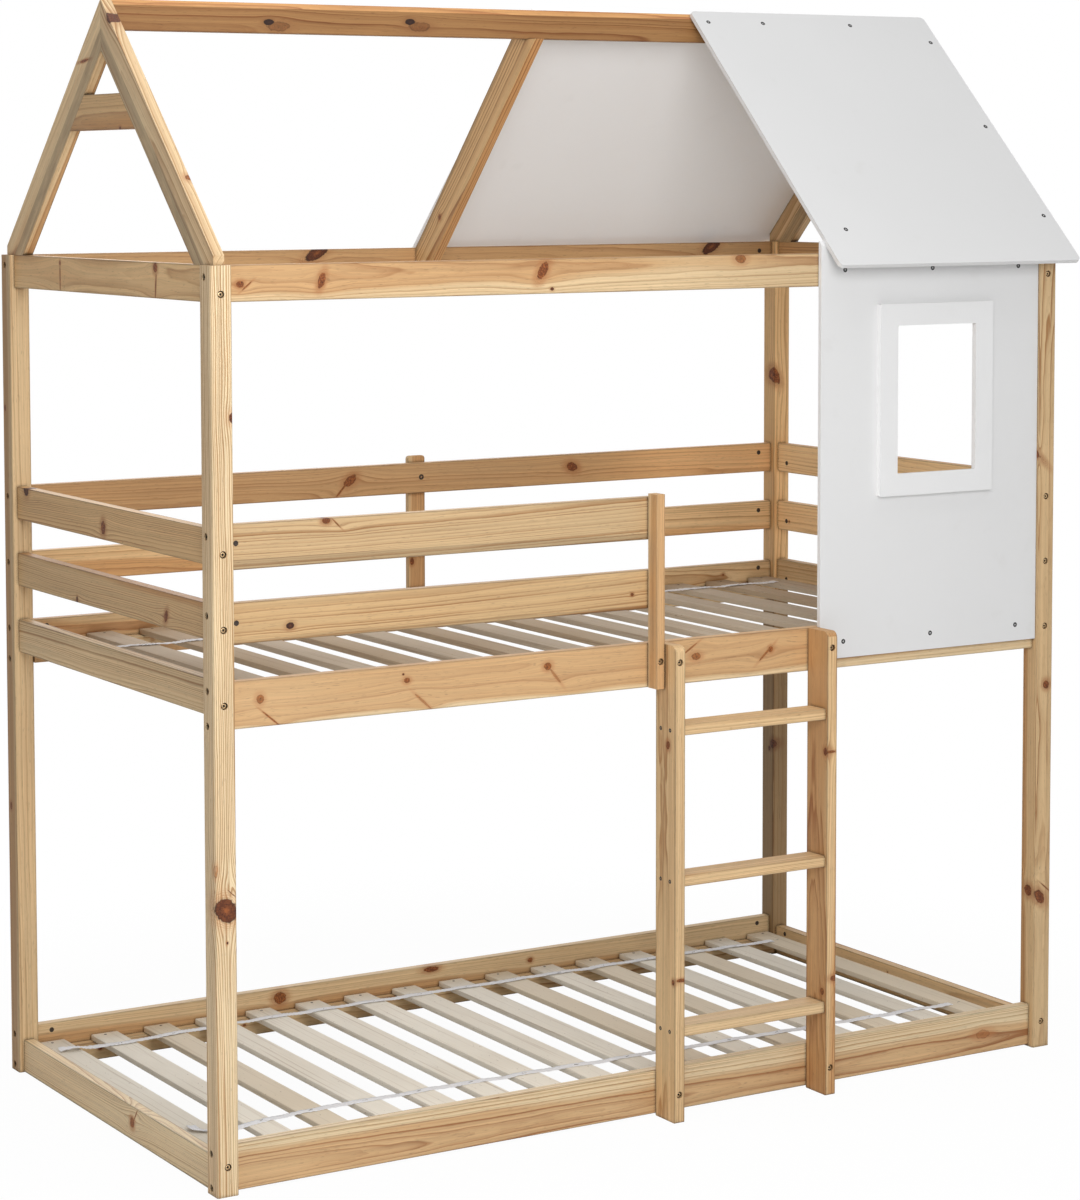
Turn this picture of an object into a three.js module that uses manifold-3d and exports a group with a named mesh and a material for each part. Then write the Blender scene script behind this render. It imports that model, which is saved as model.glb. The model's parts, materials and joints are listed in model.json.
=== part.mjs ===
// A house-shaped bunk bed in pine, with painted roof, wall and window boards.
// Millimetres, Z up. Every piece is laid out from the foot of the front left post:
// X runs along the bed, Y to the back and Z up. At the end the whole bed is moved so that
// the origin lies on the floor under the middle of its bounding box.
import * as THREE from 'three';
import { mergeVertices } from 'three/addons/utils/BufferGeometryUtils.js';
import Module from 'manifold-3d';

const wasm = await Module();
wasm.setup();

// Frame
const bedLength = 1980;
const bedWidth = 980;
const postHeight = 1706;
const postSection = 44;
const postRounding = 4;
const boardThick = 22;
const boardHeight = 67;
const longRailHeight = 88;
const edgeRounding = 2.5;
const endCornerRounding = 12;
const fit = 0.25;
const looseFit = 0.5;

// How far the boards stand in from the outer faces of the posts
const frontInset = 15;
const backInset = 8;
const endInset = 11;

// Heights of the undersides of the rails, and the open gaps between the guard boards above them
const lowerLongLift = 4;
const lowerEndLift = 1;
const upperLongLift = 860;
const endBoardRise = 25.5;
const railToGuardGap = 76;
const guardToGuardGap = 70.5;

// Front guards, their end post and the batten of the back guards
const frontTopGuardHeight = 84;
const frontMiddleGuardHeight = 76;
const frontRailToGuardGap = 68;
const frontGuardToGuardGap = 60;
const guardPostWidth = 20;
const guardPostDepth = 32;
const guardPostRise = 7;
const battenWidth = 43;
const battenThick = 10;
const battenLead = 32;
const battenRise = 14.5;
const battenRounding = 7;

// Slatted bases
const ledgeThick = 20;
const ledgeHeight = 39;
const slatCount = 16;
const slatWidth = 60;
const slatThick = 12;
const slatEndGap = 5;
const firstSlatGap = 1;
const lastSlatGap = 8.5;
const slatRounding = 2;
const tapeWidth = 20;
const tapeThick = 1;
const tapeSink = 0.25;
const frontTapeInset = 170;
const backTapeInset = 105;
const tapeEndInset = 14;

// Ladder
const stileWidth = 23;
const stileDepth = 67;
const stileHeadRounding = 14;
const stileLead = 15.5;
const stileSpacing = 370.5;
const rungCount = 3;
const rungDepth = 54;
const rungHeight = 22;
const firstRungLift = 169;
const rungPitch = 300;
const rungFrontInset = 6;

// Roof timbers, at a slope of one in one
const rafterDepth = 70;
const footInset = 8;
const heelHeight = 18;
const ridgeHeight = 60;
const collarDrop = 182;
const collarHeight = 69;

// Painted boards
const panelThick = 9;
const panelCorner = 10;
const roofOverhang = 28;
const frontPanelGap = 10;
const frontPanelEaves = 46;
const backPanelEaves = 40;
const wallPanelRise = 21.5;
const stileNotchGap = 1;
const windowShift = 6;
const windowWidth = 218;
const windowDrop = 168;
const windowHeight = 318;
const trimWidth = 45;
const trimThick = 11;
const trimLap = 7;
const trimCorner = 3;

// Fasteners
const boltHeadRadius = 6;
const boltHeadHeight = 4;
const boltShankRadius = 3;
const boltHoleRadius = 3.5;
const recessRadius = 7;
const recessDepth = 8;
const boltSides = 12;
const cutOverrun = 1;
const boltBite = 14;
const railBoltTopInset = 15;
const railBoltSpacing = 64;
const boardBoltTopInset = 21;
const endBoltLift = 22;
const topEndBoltLift = 15;
const lowerEndBoltLift = 54;
const guardPostBoltRise = 54;
const lowerStileBoltRise = 52;
const upperStileBoltRise = 55;

const pine = { color: 0xd9b483, roughness: 0.55, metalness: 0 };
const slatWood = { color: 0xcdc3b2, roughness: 0.7, metalness: 0 };
const paint = { color: 0xe6e6e4, roughness: 0.45, metalness: 0 };
const darkSteel = { color: 0x3a332c, roughness: 0.4, metalness: 0.9 };

// Places worked out from the sizes above
const rightPostAt = bedLength - postSection;
const backPostAt = bedWidth - postSection;
const frontRailAt = frontInset;
const frontRailBack = frontRailAt + boardThick;
const backRailAt = bedWidth - backInset - boardThick;
const leftBoardAt = endInset;
const rightBoardAt = bedLength - endInset - boardThick;
const middle = bedWidth / 2;
const middleAlong = bedLength / 2;
const upperRailTop = upperLongLift + longRailHeight;
const upperEndLift = upperLongLift + endBoardRise;
const middleGuardLift = upperRailTop + railToGuardGap;
const topGuardLift = middleGuardLift + boardHeight + guardToGuardGap;
const frontMiddleGuardLift = upperRailTop + frontRailToGuardGap;
const frontTopGuardLift = frontMiddleGuardLift + frontMiddleGuardHeight + frontGuardToGuardGap;
const guardPostTop = frontTopGuardLift + frontTopGuardHeight + guardPostRise;
const battenTop = topGuardLift + boardHeight + battenRise;
const battenLeft = middleAlong - battenLead;
const firstSlatAt = postSection + firstSlatGap;
const lastSlatAt = rightPostAt - lastSlatGap - slatWidth;
const slatPitch = (lastSlatAt - firstSlatAt) / (slatCount - 1);
const leftStileAt = middleAlong - stileLead;
const rightStileAt = leftStileAt + stileSpacing;
const rightStileEnd = rightStileAt + stileWidth;
const guardPostBoltAt = upperLongLift + guardPostBoltRise;
const lowerStileBoltAt = lowerLongLift + lowerStileBoltRise;
const upperStileBoltAt = upperLongLift + upperStileBoltRise;
const roofLine = postHeight + heelHeight - footInset;
const apex = roofLine + middle;
const plumbDepth = rafterDepth * Math.SQRT2;
const rafterSeat = postHeight + fit;
const midRafterAt = middleAlong - boardThick;
const roofPanelRight = bedLength + roofOverhang;
const wallPanelBack = frontRailAt - fit;
const wallPanelTop = roofLine + wallPanelBack;
const windowLift = wallPanelTop - windowDrop - windowHeight;
const windowLeft = (rightStileEnd + rightPostAt - windowWidth) / 2 + windowShift;

const bed = new THREE.Group();

function addPiece(name, geometry, look) {
  const mesh = new THREE.Mesh(geometry, new THREE.MeshStandardMaterial(look));
  mesh.name = name;
  bed.add(mesh);
  return mesh;
}

// A shape's own x and y lie along these two directions, and it is extruded along the third
const directions = {
  x: [new THREE.Vector3(0, 1, 0), new THREE.Vector3(0, 0, 1), new THREE.Vector3(1, 0, 0)],
  y: [new THREE.Vector3(0, 0, 1), new THREE.Vector3(1, 0, 0), new THREE.Vector3(0, 1, 0)],
  z: [new THREE.Vector3(1, 0, 0), new THREE.Vector3(0, 1, 0), new THREE.Vector3(0, 0, 1)],
};

function prism(shape, axis, start, end) {
  const geometry = new THREE.ExtrudeGeometry(shape, {
    depth: end - start,
    bevelEnabled: false,
    curveSegments: 3,
  });
  geometry.translate(0, 0, start);
  const turn = new THREE.Matrix4().makeBasis(...directions[axis]);
  return geometry.applyMatrix4(turn);
}

// A rectangle from its low to its high corner; the radii go round from the low corner
function roundedRect(low, high, radii) {
  const [lowLow, highLow, highHigh, lowHigh] = radii;
  const shape = new THREE.Shape();
  shape.moveTo(low[0] + lowLow, low[1]);
  shape.lineTo(high[0] - highLow, low[1]);
  if (highLow > 0) shape.absarc(high[0] - highLow, low[1] + highLow, highLow, -Math.PI / 2, 0);
  shape.lineTo(high[0], high[1] - highHigh);
  if (highHigh > 0) shape.absarc(high[0] - highHigh, high[1] - highHigh, highHigh, 0, Math.PI / 2);
  shape.lineTo(low[0] + lowHigh, high[1]);
  if (lowHigh > 0) shape.absarc(low[0] + lowHigh, high[1] - lowHigh, lowHigh, Math.PI / 2, Math.PI);
  shape.lineTo(low[0], low[1] + lowLow);
  if (lowLow > 0) shape.absarc(low[0] + lowLow, low[1] + lowLow, lowLow, Math.PI, Math.PI * 1.5);
  return shape;
}

function evenRect(low, high, radius) {
  return roundedRect(low, high, [radius, radius, radius, radius]);
}

function polygon(points) {
  return new THREE.Shape(points.map(([across, up]) => new THREE.Vector2(across, up)));
}

function toSolid(geometry) {
  const bare = geometry.clone();
  bare.deleteAttribute('normal');
  bare.deleteAttribute('uv');
  const merged = mergeVertices(bare);
  return new wasm.Manifold(new wasm.Mesh({
    numProp: 3,
    vertProperties: new Float32Array(merged.attributes.position.array),
    triVerts: new Uint32Array(merged.index.array),
  }));
}

function toGeometry(solid) {
  const mesh = solid.getMesh();
  const geometry = new THREE.BufferGeometry();
  geometry.setAttribute('position', new THREE.BufferAttribute(mesh.vertProperties, 3));
  geometry.setIndex(new THREE.BufferAttribute(mesh.triVerts, 1));
  geometry.computeVertexNormals();
  return geometry;
}

function cutAway(geometry, cutters) {
  const body = cutters.reduce((solid, cutter) => solid.subtract(toSolid(cutter)), toSolid(geometry));
  return toGeometry(body);
}

// A round bar along an axis; at holds its three coordinates, of which the one along the axis
// is replaced by start and end
function bar(axis, at, start, end, radius) {
  const geometry = new THREE.CylinderGeometry(radius, radius, Math.abs(end - start), boltSides);
  const along = (start + end) / 2;
  if (axis === 'x') {
    geometry.rotateZ(Math.PI / 2);
    geometry.translate(along, at[1], at[2]);
  } else if (axis === 'y') {
    geometry.translate(at[0], along, at[2]);
  } else {
    geometry.rotateX(Math.PI / 2);
    geometry.translate(at[0], at[1], along);
  }
  return geometry;
}

// Heights of the bolts that hold each long board, and each end board, to a post
function twoBolts(lift) {
  const upper = lift + longRailHeight - railBoltTopInset;
  return [upper, upper - railBoltSpacing];
}

const backGuardBolts = [topGuardLift, middleGuardLift].map((lift) => lift + boardHeight - boardBoltTopInset);
const frontGuardBolts = [
  frontTopGuardLift + frontTopGuardHeight - boardBoltTopInset,
  frontMiddleGuardLift + frontMiddleGuardHeight - boardBoltTopInset,
];
const commonLongBolts = [
  postHeight - boardBoltTopInset,
  ...twoBolts(upperLongLift),
  ...twoBolts(lowerLongLift),
];
const endBolts = [
  postHeight - boardHeight + topEndBoltLift,
  topGuardLift + endBoltLift,
  middleGuardLift + endBoltLift,
  upperEndLift + endBoltLift,
  lowerEndLift + lowerEndBoltLift,
];

// Posts: rounded square bars with a recess for each bolt head
function post(name, isRight, isBack) {
  const x = isRight ? rightPostAt : 0;
  const y = isBack ? backPostAt : 0;
  const section = evenRect([x, y], [x + postSection, y + postSection], postRounding);
  const body = prism(section, 'z', 0, postHeight);
  const endFace = isRight ? bedLength : 0;
  const endOut = isRight ? cutOverrun : -cutOverrun;
  const sideFace = isBack ? bedWidth : 0;
  const sideOut = isBack ? cutOverrun : -cutOverrun;
  const longBoardMiddle = (isBack ? backRailAt : frontRailAt) + boardThick / 2;
  const endBoardMiddle = (isRight ? rightBoardAt : leftBoardAt) + boardThick / 2;
  const endDeep = isRight ? -recessDepth : recessDepth;
  const sideDeep = isBack ? -recessDepth : recessDepth;
  const longBolts = [...commonLongBolts];
  if (isBack) longBolts.push(...backGuardBolts);
  if (!isBack && !isRight) longBolts.push(...frontGuardBolts);
  const cutters = longBolts.map((z) => bar('x', [0, longBoardMiddle, z], endFace + endOut,
    endFace + endDeep, recessRadius));
  for (const z of endBolts) {
    cutters.push(bar('y', [endBoardMiddle, 0, z], sideFace + sideOut, sideFace + sideDeep, recessRadius));
  }
  return addPiece(name, cutAway(body, cutters), pine);
}

// Boards along the bed, with eased edges, butted between two posts
function longBoard(name, y, lift, height, start, end, cutters = []) {
  const section = evenRect([y, lift], [y + boardThick, lift + height], edgeRounding);
  const board = prism(section, 'x', start, end);
  return addPiece(name, cutters.length ? cutAway(board, cutters) : board, pine);
}

// Blind holes in the outer face of a front rail for the bolts that go into it
function frontRailHoles(places) {
  return places.map(([x, z]) => bar('y', [x, 0, z], frontRailAt - cutOverrun,
    frontRailAt + boltBite + fit, boltHoleRadius));
}

// Boards across the bed; the upper ones have their lower end corners rounded off
function endBoard(name, x, lift, cornerRadius) {
  const low = [postSection + fit, lift];
  const high = [backPostAt - fit, lift + boardHeight];
  const outline = roundedRect(low, high, [cornerRadius, cornerRadius, edgeRounding, edgeRounding]);
  return addPiece(name, prism(outline, 'x', x, x + boardThick), pine);
}

function posts() {
  post('post_front_left', false, false);
  post('post_front_right', true, false);
  post('post_back_left', false, true);
  post('post_back_right', true, true);
}

function topRails() {
  const lift = postHeight - boardHeight;
  const start = postSection + fit;
  const end = rightPostAt - fit;
  longBoard('top_rail_front', frontRailAt, lift, boardHeight, start, end);
  longBoard('top_rail_back', backRailAt, lift, boardHeight, start, end);
  endBoard('top_rail_left', leftBoardAt, lift, edgeRounding);
  endBoard('top_rail_right', rightBoardAt, lift, edgeRounding);
}

function bunkRails() {
  const start = postSection + fit;
  const end = rightPostAt - fit;
  const stileMiddles = [leftStileAt, rightStileAt].map((x) => x + stileWidth / 2);
  const upperHoles = stileMiddles.map((x) => [x, upperStileBoltAt]);
  upperHoles.push([leftStileAt - fit - guardPostWidth / 2, guardPostBoltAt]);
  const lowerHoles = stileMiddles.map((x) => [x, lowerStileBoltAt]);
  longBoard('upper_rail_front', frontRailAt, upperLongLift, longRailHeight, start, end,
    frontRailHoles(upperHoles));
  longBoard('upper_rail_back', backRailAt, upperLongLift, longRailHeight, start, end);
  longBoard('lower_rail_front', frontRailAt, lowerLongLift, longRailHeight, start, end,
    frontRailHoles(lowerHoles));
  longBoard('lower_rail_back', backRailAt, lowerLongLift, longRailHeight, start, end);
  endBoard('lower_rail_left', leftBoardAt, lowerEndLift, edgeRounding);
  endBoard('lower_rail_right', rightBoardAt, lowerEndLift, edgeRounding);
}

function endGuards() {
  const lifts = { upper: topGuardLift, middle: middleGuardLift, base: upperEndLift };
  for (const [level, lift] of Object.entries(lifts)) {
    endBoard(`end_board_${level}_left`, leftBoardAt, lift, endCornerRounding);
    endBoard(`end_board_${level}_right`, rightBoardAt, lift, endCornerRounding);
  }
}

function frontGuards() {
  const start = postSection + fit;
  const end = leftStileAt - fit;
  longBoard('front_guard_upper', frontRailAt, frontTopGuardLift, frontTopGuardHeight, start, end);
  longBoard('front_guard_lower', frontRailAt, frontMiddleGuardLift, frontMiddleGuardHeight, start, end);
  const right = leftStileAt - fit;
  const left = right - guardPostWidth;
  const back = frontRailAt - fit;
  const section = evenRect([left, back - guardPostDepth], [right, back], edgeRounding);
  const body = prism(section, 'z', upperLongLift, guardPostTop);
  const boltAt = [(left + right) / 2, 0, guardPostBoltAt];
  const face = back - guardPostDepth;
  addPiece('guard_post', cutAway(body, [
    bar('y', boltAt, face - cutOverrun, face + recessDepth, recessRadius),
    bar('y', boltAt, face - cutOverrun, back + cutOverrun, boltHoleRadius),
  ]), pine);
  addBolt('guard_post_bolt', boltAt, face + recessDepth);
}

function backGuards() {
  const start = postSection + fit;
  const end = rightPostAt - fit;
  longBoard('back_guard_upper', backRailAt, topGuardLift, boardHeight, start, end);
  longBoard('back_guard_lower', backRailAt, middleGuardLift, boardHeight, start, end);
  const front = bedWidth - backInset + fit;
  const outline = roundedRect([upperLongLift, battenLeft], [battenTop, battenLeft + battenWidth],
    [edgeRounding, battenRounding, battenRounding, edgeRounding]);
  addPiece('back_guard_batten', prism(outline, 'y', front, front + battenThick), pine);
}

// A bolt lying along Y: its head stands in the recess and its shank reaches into the rail
function addBolt(name, at, headSeat) {
  const tip = frontRailAt + boltBite;
  const head = bar('y', at, headSeat - fit - boltHeadHeight, headSeat - fit, boltHeadRadius);
  const shank = bar('y', at, headSeat - fit - boltHeadHeight / 2, tip, boltShankRadius);
  addPiece(name, toGeometry(toSolid(head).add(toSolid(shank))), darkSteel);
}

// Ledges screwed inside the long rails, flush with their undersides
function ledges() {
  const start = postSection + fit;
  const end = rightPostAt - fit;
  const levels = { lower: lowerLongLift, upper: upperLongLift };
  for (const [level, lift] of Object.entries(levels)) {
    const sides = { front: frontRailBack + fit, back: backRailAt - fit - ledgeThick };
    for (const [side, y] of Object.entries(sides)) {
      const section = evenRect([y, lift], [y + ledgeThick, lift + ledgeHeight], edgeRounding);
      addPiece(`ledge_${level}_${side}`, prism(section, 'x', start, end), pine);
    }
  }
}

// A roll-out slatted base: its slats are held together by two webbing tapes
function slatBase(name, lift) {
  const bottom = lift + ledgeHeight + fit;
  const top = bottom + slatThick;
  const front = frontRailBack + slatEndGap;
  const back = backRailAt - slatEndGap;
  const slats = [];
  for (let index = 0; index < slatCount; index += 1) {
    const left = firstSlatAt + index * slatPitch;
    const section = evenRect([bottom, left], [top, left + slatWidth], slatRounding);
    slats.push(toSolid(prism(section, 'y', front, back)));
  }
  const tapeStart = firstSlatAt + tapeEndInset;
  const tapeEnd = lastSlatAt + slatWidth - tapeEndInset;
  const tapes = [frontRailBack + frontTapeInset, backRailAt - backTapeInset].map((y) => {
    const low = [y - tapeWidth / 2, top - tapeSink];
    const high = [y + tapeWidth / 2, top - tapeSink + tapeThick];
    return toSolid(prism(polygon([low, [high[0], low[1]], high, [low[0], high[1]]]), 'x', tapeStart, tapeEnd));
  });
  const base = [...slats, ...tapes].reduce((whole, part) => whole.add(part));
  addPiece(name, toGeometry(base), slatWood);
}

// Ladder: two stiles bolted to the front of the long rails, and three rungs between them
function ladder() {
  const back = frontRailAt - fit;
  const face = back - stileDepth;
  const stiles = { left: leftStileAt, right: rightStileAt };
  for (const [side, x] of Object.entries(stiles)) {
    const outline = roundedRect([face, 0], [back, upperRailTop],
      [edgeRounding, edgeRounding, edgeRounding, stileHeadRounding]);
    const cutters = [];
    const boltHeights = { lower: lowerStileBoltAt, upper: upperStileBoltAt };
    for (const [level, z] of Object.entries(boltHeights)) {
      const at = [x + stileWidth / 2, 0, z];
      cutters.push(bar('y', at, face - cutOverrun, face + recessDepth, recessRadius));
      cutters.push(bar('y', at, face - cutOverrun, back + cutOverrun, boltHoleRadius));
      addBolt(`ladder_bolt_${side}_${level}`, at, face + recessDepth);
    }
    addPiece(`ladder_stile_${side}`, cutAway(prism(outline, 'x', x, x + stileWidth), cutters), pine);
  }
  const start = leftStileAt + stileWidth + fit;
  const end = rightStileAt - fit;
  const front = face + rungFrontInset;
  for (let index = 0; index < rungCount; index += 1) {
    const lift = firstRungLift + index * rungPitch;
    const section = evenRect([front, lift], [front + rungDepth, lift + rungHeight], edgeRounding);
    addPiece(`ladder_rung_${index + 1}`, prism(section, 'x', start, end), pine);
  }
}

// Outline of a rafter of the front slope, seen from the right; mirrored for the back slope
function rafterOutline(isBack) {
  const split = middle - fit;
  const points = [
    [footInset, rafterSeat],
    [rafterSeat + plumbDepth - roofLine, rafterSeat],
    [split, roofLine + split - plumbDepth],
    [split, roofLine + split],
    [footInset, roofLine + footInset],
  ];
  if (!isBack) return polygon(points);
  return polygon(points.map(([y, z]) => [bedWidth - y, z]).reverse());
}

function gable(side, x) {
  addPiece(`rafter_front_${side}`, prism(rafterOutline(false), 'x', x, x + boardThick), pine);
  addPiece(`rafter_back_${side}`, prism(rafterOutline(true), 'x', x, x + boardThick), pine);
  const top = apex - collarDrop;
  const bottom = top - collarHeight;
  const innerLine = roofLine - plumbDepth;
  const topStart = top - innerLine + looseFit;
  const bottomStart = bottom - innerLine + looseFit;
  const outline = polygon([
    [bottomStart, bottom],
    [bedWidth - bottomStart, bottom],
    [bedWidth - topStart, top],
    [topStart, top],
  ]);
  addPiece(`collar_${side}`, prism(outline, 'x', x, x + boardThick), pine);
}

// The ridge beam has its top planed to the roof's two slopes
function ridge() {
  const front = middle - boardThick / 2;
  const back = middle + boardThick / 2;
  const bottom = apex - ridgeHeight;
  const outline = polygon([
    [front, bottom],
    [back, bottom],
    [back, roofLine + front],
    [middle, apex],
    [front, roofLine + front],
  ]);
  const start = leftBoardAt + boardThick + fit;
  addPiece('ridge_beam', prism(outline, 'x', start, rightBoardAt - fit), pine);
}

// The rafter at mid length runs from the ridge to the inside of the back top rail, where its
// upper edge is level with the rail, and it carries the ridge on a notch
function midRafter() {
  const topY = middle + boardThick / 2 + fit;
  const topZ = roofLine + middle - boardThick / 2;
  const footY = backRailAt - fit;
  const footZ = postHeight;
  const slope = (topZ - footZ) / (footY - topY);
  const drop = rafterDepth * Math.hypot(1, slope);
  const underside = (z) => topY + (topZ - drop - z) / slope;
  const notch = apex - ridgeHeight - fit;
  const footBottom = postHeight - boardHeight;
  const outline = polygon([
    [topY, topZ],
    [topY, notch],
    [underside(notch), notch],
    [underside(footBottom), footBottom],
    [footY, footBottom],
    [footY, footZ],
  ]);
  addPiece('rafter_back_middle', prism(outline, 'x', midRafterAt, midRafterAt + boardThick), pine);
}

// A painted board lying on the rafters: drawn flat, then tilted to the slope. It reaches from
// the ridge down to its eaves, which stand outside the posts by the distance given
function roofPanel(name, left, eaves, isBack) {
  const outward = panelThick * Math.SQRT1_2;
  const innerEaves = eaves - outward;
  const length = (middle - fit + innerEaves) * Math.SQRT2;
  const outline = evenRect([left, 0], [roofPanelRight, length], panelCorner);
  const panel = new THREE.ExtrudeGeometry(outline, {
    depth: panelThick,
    bevelEnabled: false,
    curveSegments: 3,
  });
  panel.rotateX(Math.PI / 4);
  panel.translate(0, -innerEaves, roofLine + looseFit - innerEaves);
  if (isBack) {
    panel.scale(1, -1, 1);
    panel.translate(0, bedWidth, 0);
    reverseFaces(panel);
  }
  addPiece(name, panel, paint);
}

// A mirrored shape needs its triangles turned the right way out again
function reverseFaces(geometry) {
  const position = geometry.attributes.position;
  const turned = new Float32Array(position.array);
  for (let corner = 0; corner < position.count; corner += 3) {
    turned.copyWithin((corner + 1) * 3, (corner + 2) * 3, (corner + 3) * 3);
    turned.set(position.array.subarray((corner + 1) * 3, (corner + 2) * 3), (corner + 2) * 3);
  }
  geometry.setAttribute('position', new THREE.BufferAttribute(turned, 3));
  geometry.computeVertexNormals();
}

// The wall board stands between the ladder and the right post, on the outside of the rails,
// notched at its foot for the head of the ladder's stile
function wallPanel() {
  const right = rightPostAt - fit;
  const bottom = upperLongLift + wallPanelRise;
  const notchRight = rightStileEnd + stileNotchGap;
  const notchTop = upperRailTop + stileNotchGap;
  const back = wallPanelBack;
  const front = back - panelThick;
  const outline = polygon([
    [bottom, notchRight],
    [notchTop, notchRight],
    [notchTop, rightStileEnd],
    [wallPanelTop, rightStileEnd],
    [wallPanelTop, right],
    [bottom, right],
  ]);
  const opening = evenRect([windowLift, windowLeft],
    [windowLift + windowHeight, windowLeft + windowWidth], trimCorner);
  const board = prism(outline, 'y', front, back);
  const hole = prism(opening, 'y', front - cutOverrun, back + cutOverrun);
  // The top is planed to the slope of the roof board that lies on it
  const above = prism(polygon([
    [front - cutOverrun, roofLine + front - cutOverrun],
    [back + cutOverrun, wallPanelTop + cutOverrun],
    [front - cutOverrun, wallPanelTop + cutOverrun],
  ]), 'x', rightStileEnd - cutOverrun, right + cutOverrun);
  addPiece('wall_panel', cutAway(board, [hole, above]), paint);
}

// A frame round the window, which covers the edge of the opening
function windowTrim() {
  const back = frontRailAt - panelThick - looseFit;
  const inner = {
    low: [windowLift + trimLap, windowLeft + trimLap],
    high: [windowLift + windowHeight - trimLap, windowLeft + windowWidth - trimLap],
  };
  const outer = evenRect(inner.low.map((value) => value - trimWidth),
    inner.high.map((value) => value + trimWidth), trimCorner);
  const frame = prism(outer, 'y', back - trimThick, back);
  const hole = prism(evenRect(inner.low, inner.high, trimCorner), 'y', back - trimThick - cutOverrun,
    back + cutOverrun);
  addPiece('window_trim', cutAway(frame, [hole]), paint);
}

function centreOnFloor() {
  const bounds = new THREE.Box3().setFromObject(bed);
  const centre = bounds.getCenter(new THREE.Vector3());
  for (const piece of bed.children) {
    piece.position.set(-centre.x, -centre.y, -bounds.min.z);
  }
}

posts();
topRails();
bunkRails();
endGuards();
frontGuards();
backGuards();
ledges();
slatBase('slats_lower', lowerLongLift);
slatBase('slats_upper', upperLongLift);
ladder();
gable('left', leftBoardAt);
gable('right', rightBoardAt);
ridge();
midRafter();
roofPanel('roof_panel_front', rightStileEnd + frontPanelGap, frontPanelEaves, false);
roofPanel('roof_panel_back', middleAlong, backPanelEaves, true);
wallPanel();
windowTrim();
centreOnFloor();

export default bed;
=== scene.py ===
import json
import math
import random

import bmesh
import bpy
from mathutils import Matrix, Vector

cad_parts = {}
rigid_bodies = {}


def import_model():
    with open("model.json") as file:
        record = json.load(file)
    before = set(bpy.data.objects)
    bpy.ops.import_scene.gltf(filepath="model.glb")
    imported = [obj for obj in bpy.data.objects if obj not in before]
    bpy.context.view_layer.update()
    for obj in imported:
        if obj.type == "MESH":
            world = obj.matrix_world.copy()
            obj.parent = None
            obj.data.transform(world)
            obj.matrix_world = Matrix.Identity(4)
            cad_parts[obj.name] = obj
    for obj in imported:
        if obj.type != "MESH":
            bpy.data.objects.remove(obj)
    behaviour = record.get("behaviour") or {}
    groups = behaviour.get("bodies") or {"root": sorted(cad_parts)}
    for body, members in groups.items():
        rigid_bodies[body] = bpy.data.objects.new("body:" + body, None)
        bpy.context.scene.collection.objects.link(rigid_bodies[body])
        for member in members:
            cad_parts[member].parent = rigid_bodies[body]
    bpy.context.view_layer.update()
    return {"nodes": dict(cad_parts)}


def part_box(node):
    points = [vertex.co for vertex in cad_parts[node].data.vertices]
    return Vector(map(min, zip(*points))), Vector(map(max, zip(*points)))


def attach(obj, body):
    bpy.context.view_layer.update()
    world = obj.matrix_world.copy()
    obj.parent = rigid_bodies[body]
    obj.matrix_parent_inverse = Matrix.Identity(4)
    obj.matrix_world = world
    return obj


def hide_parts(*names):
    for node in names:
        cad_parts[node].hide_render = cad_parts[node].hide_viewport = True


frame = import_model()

nodes = frame["nodes"]
for leftover in list(bpy.data.objects):
    if leftover.name in ("Cube", "Light", "Camera"):
        bpy.data.objects.remove(leftover)

# Places below are written in millimetres from the foot of the front left post
bed = {
    "originX": 1004.0, "originY": 483.875,  # the frame's own middle, seen from that foot
    "length": 1980, "width": 980, "frontInside": 37, "backInside": 950,
    "leftInside": 33, "rightInside": 1947, "wallFace": 5.75,
    "roofLine": 1716.5, "roofBoard": 9,  # the roof's inner face over the front edge, board thickness
    "lowerDeck": 55.25, "upperDeck": 911.25,  # tops of the slats
}
mm = 0.001


def place(x, y, z):
    return Vector(((x - bed["originX"]) / 1000, (y - bed["originY"]) / 1000, z / 1000))


def rgb(red, green, blue):
    def linear(value):
        value /= 255
        return value / 12.92 if value <= 0.04045 else ((value + 0.055) / 1.055) ** 2.4
    return (linear(red), linear(green), linear(blue), 1.0)


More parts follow.
